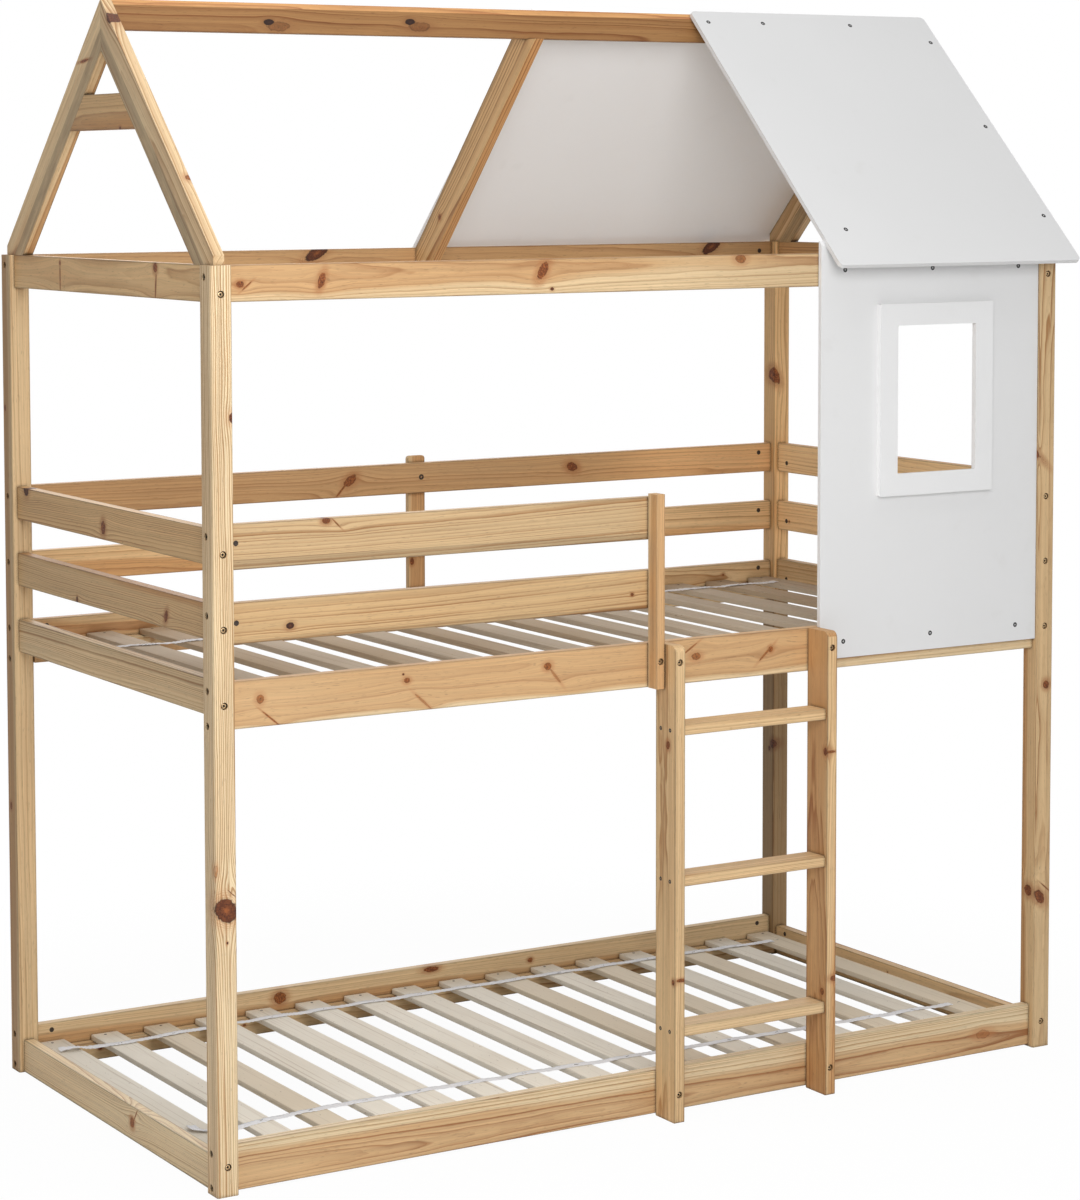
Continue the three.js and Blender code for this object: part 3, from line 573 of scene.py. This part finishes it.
def pineBoard(name, number):
    low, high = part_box(name)
    size = high - low
    centre = (low + high) / 2
    draw = random.Random(900 + number)
    alongAxis, throughAxis, half = boardAxes(name, size)
    axes = (alongAxis, throughAxis.cross(alongAxis), throughAxis)
    look = commonLook | {key: draw.uniform(*span) for key, span in chanceLook.items()}
    look["heart"] = (look["heartAcross"], look["heartThrough"])
    for kind in ("post", "ladder_stile"):
        if name.startswith(kind):
            look.update(strips=glued["share"], stripWidth=glued[kind])
    look.update(boardLook.get(name, {}))
    made, wires = newMaterial("pine_" + name)
    objectPlace = wires.objectPlace()
    fromCentre = wires.vector("SUBTRACT", objectPlace, tuple(centre))
    point = wires.join(*(wires.vector("DOT_PRODUCT", fromCentre, tuple(axis)) for axis in axes))
    found = boardKnots(name, draw, centre, axes, half)
    running = chainKnots(wires, point, found, centre, axes, half)
    normal = wires.node("ShaderNodeTexCoord").outputs["Normal"]
    endOn = wires.math("ABSOLUTE", wires.vector("DOT_PRODUCT", normal, tuple(alongAxis)))
    inputs = {"Point": point, "Push": running["Push"], "Nearest": running["Nearest"],
              "KnotTone": running["Tone"], "Heart": (0.0, *look["heart"]),
              "Seed": tuple(draw.uniform(-30, 30) for _ in range(3)),
              "Half": tuple(half), "EndGrain": wires.step(endOn, 0.6, 0.8),
              "Tone": boardTone(wires, look, point)}
    for key in ("spacing", "contrast", "heartwoodAt", "warmth", "wander", "strips", "stripWidth"):
        inputs[key[0].upper() + key[1:]] = look[key]
    grain = wires.node("ShaderNodeGroup", inputs, node_tree=grainGroup)
    finishMaterial(wires, grain.outputs["Color"], grain.outputs["Roughness"], grain.outputs["Height"],
                   pine["bump"], 0.6, Specular_IOR_Level=0.35)
    return made


def dress(name, material):
    target = nodes[name]
    target.data.materials.clear()
    target.data.materials.append(material)


pineNames = sorted(name for name in nodes if not name.startswith(
    ("slats", "roof_panel", "wall_panel", "window_trim", "guard_post_bolt", "ladder_bolt")))
for number, name in enumerate(pineNames):
    dress(name, pineBoard(name, number))
print("pine boards dressed:", len(pineNames))


# Painted boards; their edges that face left are made paler, a painted highlight
whiteBoard = {"colour": rgb(234, 234, 234), "shade": rgb(228, 228, 228), "edge": rgb(200, 196, 190),
              "leftFaceLight": 1.16}


def paintedMaterial(name, seed, tone):
    made, wires = newMaterial(name)
    objectPlace = wires.objectPlace()
    seeded = wires.vector("ADD", objectPlace, (seed, seed * 0.7, seed * 1.3))
    broad = wires.noise(seeded, 2.6)
    roller = wires.noise(seeded, 900.0, 2.0, 0.6)
    smudge = wires.step(wires.noise(seeded, 14.0, 3.0, 0.6), 0.62, 0.80)
    colour = wires.mix(broad, whiteBoard["colour"], whiteBoard["shade"])
    colour = wires.mix(wires.times(smudge, 0.10), colour, whiteBoard["edge"])
    bevel = wires.node("ShaderNodeBevel", {"Radius": 0.0015}, samples=4).outputs[0]
    flat = wires.node("ShaderNodeNewGeometry").outputs["Normal"]
    worn = wires.step(wires.vector("DOT_PRODUCT", bevel, flat), 0.995, 0.90)
    worn = wires.times(worn, wires.step(wires.noise(seeded, 120.0), 0.40, 0.75))
    colour = wires.mix(wires.times(worn, 0.25), colour, whiteBoard["edge"])
    # Painted light: faces turned to the left are brightened
    leftward = wires.times(wires.split(flat)[0], -1.0)
    leftLit = wires.step(leftward, 0.6, 0.9, tone, tone * whiteBoard["leftFaceLight"])
    colour = wires.vector("SCALE", colour, leftLit)
    rough = wires.timesPlus(roller, 0.12, 0.36)
    finishMaterial(wires, colour, rough, roller, 0.0001, 0.5, Specular_IOR_Level=0.45)
    return made


# Painted light and shade: the same white paint is made darker or lighter on each board to match how it is lit
paintedLightPerBoard = {"roof_panel_front": 0.83, "roof_panel_back": 1.17, "wall_panel": 0.90, "window_trim": 0.96}
for number, (name, tone) in enumerate(paintedLightPerBoard.items()):
    dress(name, paintedMaterial("whitePaint_" + name, 3.1 + number * 5.7, tone))
print("painted boards dressed")


def steelMaterial(name, colour, dirt, metallic, roughness):
    made, wires = newMaterial(name)
    objectPlace = wires.objectPlace()
    toolMarks = wires.cloud(objectPlace, (900.0, 900.0, 2600.0))
    grime = wires.noise(objectPlace, 420.0, 3.0, 0.6)
    tone = wires.mix(wires.step(grime, 0.45, 0.70), colour, dirt)
    # Painted shade: sockets, slots and recesses are darkened inside
    openness = wires.node("ShaderNodeAmbientOcclusion", {"Distance": 0.004}, samples=6).outputs["AO"]
    tone = wires.vector("SCALE", tone, wires.step(openness, 0.55, 0.92, 0.02, 1.0))
    rough = wires.timesPlus(toolMarks, 0.25, roughness - 0.12)
    finishMaterial(wires, tone, rough, toolMarks, 0.00008, 0.5, Metallic=metallic)
    return made


bronze = steelMaterial("bronzedSteel", rgb(240, 206, 158), rgb(128, 92, 58), 0.6, 0.34)
# Painted shade and reflection: the same bronze, darker, for the bolts in the posts' left and right faces
shadedBronze = steelMaterial("shadedBronze", rgb(104, 92, 72), rgb(36, 28, 20), 0.7, 0.36)
darkScrew = steelMaterial("darkScrew", rgb(16, 13, 12), rgb(8, 7, 6), 0.0, 0.6)
rungSteel = steelMaterial("rungSteel", rgb(92, 88, 82), rgb(30, 26, 22), 0.7, 0.4)
zinc = steelMaterial("zincSteel", rgb(168, 166, 160), rgb(120, 116, 108), 0.9, 0.35)
# Painted shade: the barrel nuts and the batten's screw heads are nearly black and dull, standing in for the
# shade of the holes they sit in
shadedNutSteel = steelMaterial("shadedNutSteel", rgb(52, 38, 28), rgb(20, 14, 10), 0.0, 0.6)


def turnTo(direction):
    return Vector(direction).to_track_quat("Z", "Y").to_matrix().to_4x4()


def lathe(mesh, seat, direction, rings, twist=0.0, sides=24):
    # rings: (radius, height, corners) in metres; corners 0 is round, 6 a hexagon socket, 4 a cross
    turn = Matrix.Translation(seat) @ turnTo(direction) @ Matrix.Rotation(twist, 4, "Z")
    loops = []
    for radius, height, corners in rings:
        loop = []
        for side in range(sides):
            angle = math.tau * side / sides
            reach = radius
            if corners == 6:
                part = math.tau / 6
                reach = radius * math.cos(part / 2) / math.cos((angle % part) - part / 2)
            if corners == 4:
                reach = radius * (0.36 + 0.64 * abs(math.cos(2 * angle)) ** 5)
            spot = Vector((reach * math.cos(angle), reach * math.sin(angle), height))
            loop.append(mesh.verts.new(turn @ spot))
        loops.append(loop)
    for lower, upper in zip(loops, loops[1:]):
        for side in range(sides):
            after = (side + 1) % sides
            mesh.faces.new((lower[side], lower[after], upper[after], upper[side]))
    mesh.faces.new(loops[-1])
    mesh.faces.new(list(reversed(loops[0])))


def addPiece(name, mesh, material, replaced=(), smooth=0.6):
    data = bpy.data.meshes.new(name)
    bmesh.ops.recalc_face_normals(mesh, faces=mesh.faces)
    mesh.to_mesh(data)
    mesh.free()
    data.materials.append(material)
    data.shade_smooth()
    made = newObject(name, data)
    if smooth:
        made.data.set_sharp_from_angle(angle=smooth)
    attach(made, "root")
    if replaced:
        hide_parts(*replaced)
    return made


def turned(mesh, seat, direction, rings, draw):
    # The same with rings in millimetres, turned to a chance angle
    rings = [(radius * mm, height * mm, corners) for radius, height, corners in rings]
    lathe(mesh, seat, direction, rings, draw.uniform(0, 6))


def fastener(name, mesh, steel, replaced=()):
    addPiece(name, mesh, steel, replaced)


bolt = {"radius": 5.1, "height": 5.7, "socket": 2.6, "socketDepth": 4.2, "round": 1.0, "recess": 8.0,
        "shank": 3.0, "tip": 2.6, "tipHeight": 0.6, "gap": 0.2}


def boltHead(mesh, seat, direction, draw):
    radius, height, socket, rounding = (bolt[key] for key in ("radius", "height", "socket", "round"))
    floor = height - bolt["socketDepth"]
    turned(mesh, seat, direction, [
        (radius * 0.96, 0.0, 0), (radius, 0.3, 0), (radius, height - rounding, 0),
        (radius - rounding * 0.3, height - rounding * 0.3, 0), (radius - rounding, height, 0),
        (socket * 1.06, height, 6), (socket, height - 0.25, 6), (socket, floor, 6),
        (socket * 0.5, floor - 0.6, 0),
    ], draw)


# Heights of the bolts in each post's two outer faces, and where those rows stand
longBolts = (1685, 933, 869, 77, 13)
endBolts = (1654, 1183.5, 1046, 907.5, 55)
frontGuardBolts, backGuardBolts = (1215, 1071), (1207.5, 1070)
postBolts = {
    "FrontLeft": {"x": 0, "outX": -1, "rowY": 26, "heights": longBolts + frontGuardBolts,
                  "y": 0, "outY": -1, "rowX": 22},
    "FrontRight": {"x": bed["length"], "outX": 1, "rowY": 26, "heights": longBolts,
                   "y": 0, "outY": -1, "rowX": 1958},
    "BackLeft": {"x": 0, "outX": -1, "rowY": 961, "heights": longBolts + backGuardBolts,
                 "y": bed["width"], "outY": 1, "rowX": 22},
    "BackRight": {"x": bed["length"], "outX": 1, "rowY": 961, "heights": longBolts + backGuardBolts,
                  "y": bed["width"], "outY": 1, "rowX": 1958},
}


def fitPostBolts():
    draw = random.Random(41)
    for corner, post in postBolts.items():
        mesh, endMesh = bmesh.new(), bmesh.new()
        for z in post["heights"]:
            seat = place(post["x"] - post["outX"] * bolt["recess"], post["rowY"], z)
            boltHead(endMesh, seat, (post["outX"], 0, 0), draw)
        for z in endBolts:
            seat = place(post["rowX"], post["y"] - post["outY"] * bolt["recess"], z)
            boltHead(mesh, seat, (0, post["outY"], 0), draw)
        fastener("bolts" + corner, mesh, bronze)
        fastener("endBolts" + corner, endMesh, shadedBronze)


def fitCadBolts():
    draw = random.Random(7)
    for name in sorted(nodes):
        if not name.startswith(("guard_post_bolt", "ladder_bolt")):
            continue
        low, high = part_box(name)
        middle = (low + high) / 2
        mesh = bmesh.new()
        seat = Vector((middle.x, low.y + bolt["height"] * mm, middle.z))
        boltHead(mesh, seat, (0, -1, 0), draw)
        # The shank behind the head
        tip, tipHeight, shank, gap = (bolt[key] * mm for key in ("tip", "tipHeight", "shank", "gap"))
        lathe(mesh, Vector((middle.x, high.y, middle.z)), (0, -1, 0), [
            (tip, 0.0, 0), (shank, tipHeight, 0), (shank, high.y - seat.y - gap, 0)], sides=16)
        fastener(name + "_detail", mesh, bronze, (name,))


def screwHead(mesh, seat, direction, draw, radius=5.0):
    turned(mesh, seat, direction, [
        (radius, -0.3, 0), (radius, 0.12, 0), (radius * 0.92, 0.24, 0),
        (radius * 0.62, 0.26, 4), (radius * 0.58, 0.05, 4), (radius * 0.30, -0.25, 4),
    ], draw)


screws = {
    "roofFront": [(1409, 460), (1552, 460), (1787, 460), (1984, 425), (1984, 237), (1984, 46), (1443, 24)],
    "roofBack": [(x, y) for x in (1015, 1240, 1470, 1700, 1930) for y in (509, 950)],
    "wall": [(x, z) for x in (1428, 1653, 1881) for z in (1672, 915)],
    "rung": {"z": (180, 480, 780), "y": (-34, -2), "stiles": ((974.5, -1), (1368, 1)), "radius": 4.2},
    "batten": {"x": 980, "z": (1197, 1057, 904), "radius": 6.2},
}


def fitBoardScrews():
    draw = random.Random(12)
    outerFace = bed["roofLine"] + bed["roofBoard"] * math.sqrt(2)
    boards = {
        "roofFrontScrews": ((0, -slope, slope), [
            place(x, y, outerFace + y) for x, y in screws["roofFront"]]),
        "roofBackScrews": ((0, slope, slope), [
            place(x, y, outerFace + bed["width"] - y) for x, y in screws["roofBack"]]),
        "wallScrews": ((0, -1, 0), [place(x, bed["wallFace"], z) for x, z in screws["wall"]]),
    }
    for name, (outward, seats) in boards.items():
        mesh = bmesh.new()
        for seat in seats:
            screwHead(mesh, seat, outward, draw)
        fastener(name, mesh, darkScrew)


def fitRungScrews():
    draw = random.Random(5)
    mesh = bmesh.new()
    rung = screws["rung"]
    for z in rung["z"]:
        for y in rung["y"]:
            for x, outward in rung["stiles"]:
                screwHead(mesh, place(x, y, z), (outward, 0, 0), draw, rung["radius"])
    fastener("rungScrews", mesh, rungSteel)


nuts = {"longX": (79, 1901), "endY": (79, 901), "guard": {"x": 55, "y": 15, "z": (1201, 1055)}}


def barrelNut(mesh, seat, direction, draw):
    turned(mesh, seat, direction, [
        (5.2, -0.2, 0), (5.2, 0.12, 0), (4.9, 0.22, 0), (4.4, 0.22, 0), (4.1, 0.08, 0), (2.3, 0.07, 4),
        (2.0, 0.04, 4)], draw)


def fitBarrelNuts():
    draw = random.Random(23)
    mesh = bmesh.new()
    for y, facing, heights in ((bed["frontInside"], 1, longBolts),
                               (bed["backInside"], -1, longBolts + backGuardBolts)):
        for z in heights:
            for x in nuts["longX"]:
                barrelNut(mesh, place(x, y, z), (0, facing, 0), draw)
    for z in nuts["guard"]["z"]:
        barrelNut(mesh, place(nuts["guard"]["x"], nuts["guard"]["y"], z), (0, -1, 0), draw)
    for z in endBolts:
        for y in nuts["endY"]:
            for x, facing in ((bed["leftInside"], 1), (bed["rightInside"], -1)):
                barrelNut(mesh, place(x, y, z), (facing, 0, 0), draw)
    batten = screws["batten"]
    for z in batten["z"]:
        seat = place(batten["x"], bed["backInside"], z)
        screwHead(mesh, seat, (0, -1, 0), draw, batten["radius"])
    fastener("barrelNuts", mesh, shadedNutSteel)


fitPostBolts()
fitCadBolts()
fitBoardScrews()
fitRungScrews()
fitBarrelNuts()
print("fasteners fitted")

slat = {"count": 16, "first": 45.0, "pitch": 121.5, "width": 60.0, "thick": 12.0,
        "front": 42.0, "back": 945.0, "ease": 1.8, "screwIn": 14, "screwRadius": 3.0, "stray": (6, 3),
        "pale": rgb(247, 243, 237), "grey": rgb(228, 219, 208), "tan": rgb(204, 184, 156),
        "line": rgb(176, 156, 136), "speck": rgb(120, 92, 70)}


def slatMaterial(name, seed, tint):
    made, wires = newMaterial(name)
    objectPlace = wires.objectPlace()
    # Every slat has a number, its own colour and its own piece of the log
    firstAt = bed["originX"] - slat["first"] + slat["width"] / 2
    fromFirst = wires.plus(wires.split(objectPlace)[0], firstAt * mm)
    number = wires.math("FLOOR", wires.math("DIVIDE", fromFirst, slat["pitch"] * mm))
    own, ownPlace = wires.varied(wires.plus(number, seed))
    shifted = wires.vector("ADD", objectPlace, wires.vector("SCALE", ownPlace, 7.0))
    slow = wires.cloudShift(shifted, (6.0, 1.4, 6.0), 1.0)
    grain = wires.vector("ADD", shifted, wires.vector("MULTIPLY", slow, (0.030, 0.0, 0.030)))
    lines = wires.cloud(grain, (170.0, 1.2, 170.0), 2.0, 0.55)
    fibre = wires.cloud(grain, (1300.0, 11.0, 1300.0))
    patch = wires.noise(shifted, 3.4)
    colour = wires.mix(patch, slat["pale"], slat["grey"])
    colour = wires.mix(wires.step(own, 0.74, 0.76, 0.0, 0.55), colour, slat["tan"])
    colour = wires.mix(wires.step(lines, 0.55, 0.78, 0.0, 0.55), colour, slat["line"])
    speck = wires.step(wires.cloud(shifted, (260.0, 120.0, 260.0), 0.0), 0.80, 0.85)
    colour = wires.mix(wires.times(speck, 0.4), colour, slat["speck"])
    light = wires.swing(fibre, 0.16, 0.94)
    light = wires.timesPlus(own, 0.12, light)
    colour = wires.vector("MULTIPLY", wires.vector("SCALE", colour, light), tint)
    finishMaterial(wires, colour, wires.timesPlus(fibre, 0.15, 0.62), fibre, 0.0002, 0.6,
                   Specular_IOR_Level=0.3)
    return made


def slatBoard(mesh, low, high):
    made = bmesh.ops.create_cube(mesh, size=1.0)["verts"]
    for vert in made:
        vert.co = Vector([(low[axis] + high[axis]) / 2 + vert.co[axis] * (high[axis] - low[axis])
                          for axis in range(3)])
    edges = {edge for vert in made for edge in vert.link_edges}
    bmesh.ops.bevel(mesh, geom=list(edges), offset=slat["ease"] * mm, segments=3, profile=0.5, affect="EDGES")


def fitSlats(name, top, replaced, seed, tint):
    mesh = bmesh.new()
    screwMesh = bmesh.new()
    draw = random.Random(seed)
    for number in range(slat["count"]):
        left = slat["first"] + number * slat["pitch"]
        slatBoard(mesh, place(left, slat["front"], top - slat["thick"]),
                  place(left + slat["width"], slat["back"], top))
        for y in (slat["front"] + slat["screwIn"], slat["back"] - slat["screwIn"]):
            aside, ahead = (draw.uniform(-reach, reach) for reach in slat["stray"])
            seat = place(left + slat["width"] / 2 + aside, y + ahead, top)
            screwHead(screwMesh, seat, (0, 0, 1), draw, slat["screwRadius"])
    addPiece(name, mesh, slatMaterial("slatWood_" + name, seed, tint), (replaced,))
    fastener(name + "Screws", screwMesh, darkScrew)


slatBases = {
    "slatsLowerWood": {
        "top": bed["lowerDeck"], "replaced": "slats_lower", "seed": 4, "tint": (0.98, 0.97, 0.91)},
    # Painted shade: the upper slats' tint darkens them as if in the shade of the guards
    "slatsUpperWood": {
        "top": bed["upperDeck"], "replaced": "slats_upper", "seed": 11, "tint": (0.60, 0.52, 0.42)},
}
for name, base in slatBases.items():
    fitSlats(name, **base)

# Waves have a height, or a slope in the tilts, and a length per radian
tape = {"width": 19.0, "thick": 0.7, "white": rgb(252, 252, 252), "shade": rgb(226, 226, 232),
        "steps": 1100, "cells": 4, "weave": 3100.0, "sway": (1.6, 37), "smallSway": (1.1, 17), "clear": 0.35,
        "sag": 0.9, "buckle": (0.5, 23), "crinkle": (0.9, 3.7), "looseFrom": 50, "looseOver": 110,
        "curl": (9, 21), "tilt": (0.10, 41), "looseTilt": (0.5, 15), "steadyTilt": 0.6, "above": 0.05,
        "crinkleTurn": 13, "nearby": 0.001}


def tapeMaterial():
    made, wires = newMaterial("tapeWebbing")
    objectPlace = wires.objectPlace()
    x, y, _ = wires.split(objectPlace)
    warp = wires.math("SINE", wires.times(wires.plus(x, y), tape["weave"]))
    weft = wires.math("SINE", wires.times(wires.minus(x, y), tape["weave"]))
    weave = wires.timesPlus(wires.times(warp, weft), 0.5, 0.5)
    fluff = wires.noise(objectPlace, 700.0, 3.0, 0.65)
    colour = wires.mix(wires.timesPlus(weave, 0.45, wires.times(fluff, 0.5)),
                       tape["shade"], tape["white"])
    finishMaterial(wires, colour, 0.85, wires.timesPlus(fluff, 0.6, weave), 0.0004, 0.7,
                   Sheen_Weight=0.25)
    return made


webbing = tapeMaterial()
tapeRuns = {
    "tapeLowerBack": {"z": bed["lowerDeck"], "seed": 2, "points": [
        (57, 857), (80, 856), (102, 855), (168, 851), (240, 852), (383, 863), (629, 868), (1005, 868),
        (1403, 868), (1679, 864), (1880, 860)]},
    "tapeLowerFront": {"z": bed["lowerDeck"], "seed": 5, "points": [
        (66, 250), (64, 222), (96, 210), (143, 204), (236, 226), (404, 234), (748, 232),
        (1225, 220), (1880, 206)]},
    "tapeUpperBack": {"z": bed["upperDeck"], "seed": 9, "points": [
        (60, 752), (209, 722), (279, 727), (421, 738), (568, 752), (900, 800), (1300, 845), (1880, 850)]},
    "tapeUpperFront": {"z": bed["upperDeck"], "seed": 13, "points": [
        (62, 214), (300, 205), (700, 212), (1300, 204), (1880, 207)]},
}


def curveAt(points, share):
    # Catmull-Rom through the points
    count = len(points) - 1
    spot = min(share * count, count - 1e-6)
    index = int(spot)
    part = spot - index
    quad = [points[max(0, min(count, index + step))] for step in (-1, 0, 1, 2)]
    result = []
    for axis in range(2):
        a, b, c, d = (point[axis] for point in quad)
        result.append(0.5 * (2 * b + (c - a) * part + (2 * a - 5 * b + 4 * c - d) * part ** 2
                             + (3 * b - a - 3 * c + d) * part ** 3))
    return result


def onSlat(x):
    # 1 over a slat, down to 0 in the middle of a gap
    part = (x - slat["first"]) % slat["pitch"]
    if part <= slat["width"]:
        return 1.0
    gap = slat["pitch"] - slat["width"]
    middle = (part - slat["width"]) / gap
    return 1 - math.sin(middle * math.pi)


def fitTape(name, run):
    draw = random.Random(run["seed"])
    phases = [draw.uniform(0, 6) for _ in range(6)]
    mesh = bmesh.new()

    def swing(key, x, phase):
        return tape[key][0] * math.sin(x / tape[key][1] + phase)

    def bulge(key, x, phase):
        return tape[key][0] * abs(math.sin(x / tape[key][1] + phase))

    rows = []
    for index in range(tape["steps"] + 1):
        share = index / tape["steps"]
        x, y = curveAt(run["points"], share)
        ahead = curveAt(run["points"], min(share + tape["nearby"], 1))
        behind = curveAt(run["points"], max(share - tape["nearby"], 0))
        heading = Vector((ahead[0] - behind[0], ahead[1] - behind[1], 0)).normalized()
        side = Vector((-heading.y, heading.x, 0))
        y += swing("sway", x, phases[0]) + swing("smallSway", x, phases[1])
        # Near its end the tape is loose: it curls up and tilts
        loose = max(0.0, 1 - (x - tape["looseFrom"]) / tape["looseOver"])
        wave = (1 - onSlat(x)) * -tape["sag"] + tape["clear"] + bulge("buckle", x, phases[2])
        wave += bulge("crinkle", x, 2 * math.sin(x / tape["crinkleTurn"] + phases[5]))
        wave += loose ** 2 * bulge("curl", x, phases[3])
        tilt = swing("tilt", x, phases[4]) + loose * swing("looseTilt", x, phases[5])
        tilt *= 1 if loose > 0 else tape["steadyTilt"]
        row = []
        for cell in range(tape["cells"] + 1):
            across = (cell / tape["cells"] - 0.5) * tape["width"]
            rise = wave + across * tilt * 0.4
            if onSlat(x) == 1:
                rise = max(0.0, rise + abs(across) * abs(tilt) * 0.5)
            z = run["z"] + tape["above"] + rise
            row.append(mesh.verts.new(place(x + side.x * across, y + side.y * across, z)))
        rows.append(row)
    for first, second in zip(rows, rows[1:]):
        for cell in range(tape["cells"]):
            mesh.faces.new((first[cell], first[cell + 1], second[cell + 1], second[cell]))
    made = addPiece(name, mesh, webbing, smooth=None)
    thicken = made.modifiers.new("thick", "SOLIDIFY")
    thicken.thickness = tape["thick"] * mm
    thicken.offset = 1.0


staple = {"half": 5.0, "wire": 0.45, "tip": 0.2, "above": 1.9, "stray": 8, "turn": 0.6, "samples": 600}


def fitStaples(name, run):
    draw = random.Random(run["seed"] + 100)
    mesh = bmesh.new()
    samples, length = staple["samples"], 2 * staple["half"] * mm
    wire, tip = staple["wire"] * mm, staple["tip"] * mm
    table = [curveAt(run["points"], index / samples) for index in range(samples + 1)]
    for number in range(slat["count"]):
        centre = slat["first"] + number * slat["pitch"] + slat["width"] / 2
        centre += draw.uniform(-staple["stray"], staple["stray"])
        y = min(table, key=lambda spot: abs(spot[0] - centre))[1]
        turn = draw.uniform(-staple["turn"], staple["turn"])
        direction = Vector((math.cos(turn), math.sin(turn), 0))
        begin = place(centre, y, run["z"] + staple["above"]) - direction * length / 2
        lathe(mesh, begin, direction, [
            (tip, -tip, 0), (wire, 0.0, 0), (wire, length, 0), (tip, length + tip, 0)], sides=8)
    fastener(name, mesh, zinc)


for name, run in tapeRuns.items():
    fitTape(name, run)
    fitStaples(name + "Staples", run)
print("slats and tapes fitted")


# The photo's camera: place in millimetres, angles in degrees, focal length and centre in pixels
view = {"x": -2456.05, "y": -5041.35, "z": 1868.65, "heading": 30.0, "pitch": 3.96, "roll": -0.22,
        "focal": 3123.0, "middleX": 430.0, "middleY": 390.0, "width": 1080, "height": 1200}


def setCamera():
    heading, pitch, roll = (math.radians(view[key]) for key in ("heading", "pitch", "roll"))
    forward = Vector((
        math.sin(heading) * math.cos(pitch), math.cos(heading) * math.cos(pitch), -math.sin(pitch)))
    right = Vector((math.cos(heading), -math.sin(heading), 0))
    up = right.cross(forward)
    rolledRight = right * math.cos(roll) + up * math.sin(roll)
    rolledUp = up * math.cos(roll) - right * math.sin(roll)
    data = bpy.data.cameras.new("camera")
    camera = newObject("camera", data)
    camera.matrix_world = Matrix.Translation(place(view["x"], view["y"], view["z"])) @ Matrix((
        (rolledRight.x, rolledUp.x, -forward.x, 0), (rolledRight.y, rolledUp.y, -forward.y, 0),
        (rolledRight.z, rolledUp.z, -forward.z, 0), (0, 0, 0, 1)))
    data.sensor_width = 36
    data.sensor_fit = "AUTO"
    data.lens = view["focal"] * data.sensor_width / view["height"]
    data.shift_x = (view["width"] / 2 - view["middleX"]) / view["height"]
    data.shift_y = (view["middleY"] - view["height"] / 2) / view["height"]
    data.clip_start, data.clip_end = 0.1, 100
    bpy.context.scene.camera = camera


# The floor's rings are in metres, its centre under the bed
ground = {"rings": (1.0, 2.0, 4.0, 8.0, 30.0), "sides": 64, "pale": (0.91, 0.91, 0.91, 1),
          "dull": (0.89, 0.89, 0.89, 1), "shadowShare": 0.962}


def layFloor():
    mesh = bmesh.new()
    sides = ground["sides"]
    centre = mesh.verts.new((0, 0, 0))
    turns = [math.tau * side / sides for side in range(sides)]
    loops = [[mesh.verts.new((radius * math.cos(turn), radius * math.sin(turn), 0)) for turn in turns]
             for radius in ground["rings"]]
    for side in range(sides):
        after = (side + 1) % sides
        mesh.faces.new((centre, loops[0][side], loops[0][after]))
        for inner, outer in zip(loops, loops[1:]):
            mesh.faces.new((inner[side], outer[side], outer[after], inner[after]))
    data = bpy.data.meshes.new("floor")
    mesh.to_mesh(data)
    mesh.free()
    made, wires = newMaterial("whiteFloor")
    objectPlace = wires.objectPlace()
    distance = wires.vector("LENGTH", objectPlace)
    mottle = wires.noise(objectPlace, 3.0)
    matt = wires.node("ShaderNodeBsdfDiffuse", {"Color": wires.mix(mottle, ground["dull"], ground["pale"])})
    glow = wires.node("ShaderNodeEmission", {"Color": (1, 1, 1, 1), "Strength": 1.0})
    # The camera sees a white ground, with some of the shadow near the bed
    seen = wires.node("ShaderNodeLightPath").outputs["Is Camera Ray"]
    share = wires.times(seen, wires.step(distance, 1.0, 1.9, ground["shadowShare"], 1.0))
    blend = wires.node("ShaderNodeMixShader", {0: share, 1: matt.outputs[0], 2: glow.outputs[0]})
    wires.node("ShaderNodeOutputMaterial", {"Surface": blend.outputs[0]})
    data.materials.append(made)
    newObject("floor", data)


# Lamps stand and aim in millimetres; their size is in metres, their power in watts
room = {
    "strength": 0.36,
    "lamps": {
        "frontSoftbox": {"at": (-350, -2950, 2500), "to": (800, 300, 800), "size": 2.0, "power": 86},
        "topSoftbox": {"at": (800, -500, 6500), "to": (900, 300, 0), "size": 3.6, "power": 108},
        "backSoftbox": {"at": (2600, 4600, 2300), "to": (1000, 500, 900), "size": 2.4, "power": 42},
    },
}


def lightRoom():
    world = bpy.data.worlds.new("room")
    bpy.context.scene.world = world
    world.use_nodes = True
    world.node_tree.nodes.clear()
    wires = Wiring(world.node_tree)
    seen = wires.node("ShaderNodeLightPath").outputs
    direct = wires.math("MAXIMUM", seen["Is Camera Ray"], seen["Is Glossy Ray"])
    strength = wires.timesPlus(direct, 1 - room["strength"], room["strength"])
    back = wires.node("ShaderNodeBackground", {"Color": (1, 1, 1, 1), "Strength": strength})
    wires.node("ShaderNodeOutputWorld", {"Surface": back.outputs[0]})
    for name, lamp in room["lamps"].items():
        data = bpy.data.lights.new(name, "AREA")
        data.shape = "SQUARE"
        data.size = lamp["size"]
        data.energy = lamp["power"]
        made = newObject(name, data)
        made.location = place(*lamp["at"])
        made.rotation_mode = "QUATERNION"
        aim = place(*lamp["to"]) - place(*lamp["at"])
        made.rotation_quaternion = aim.to_track_quat("-Z", "Y")


setCamera()
layFloor()
lightRoom()
bpy.context.scene.view_settings.view_transform = "Standard"
print("camera, floor and light set")
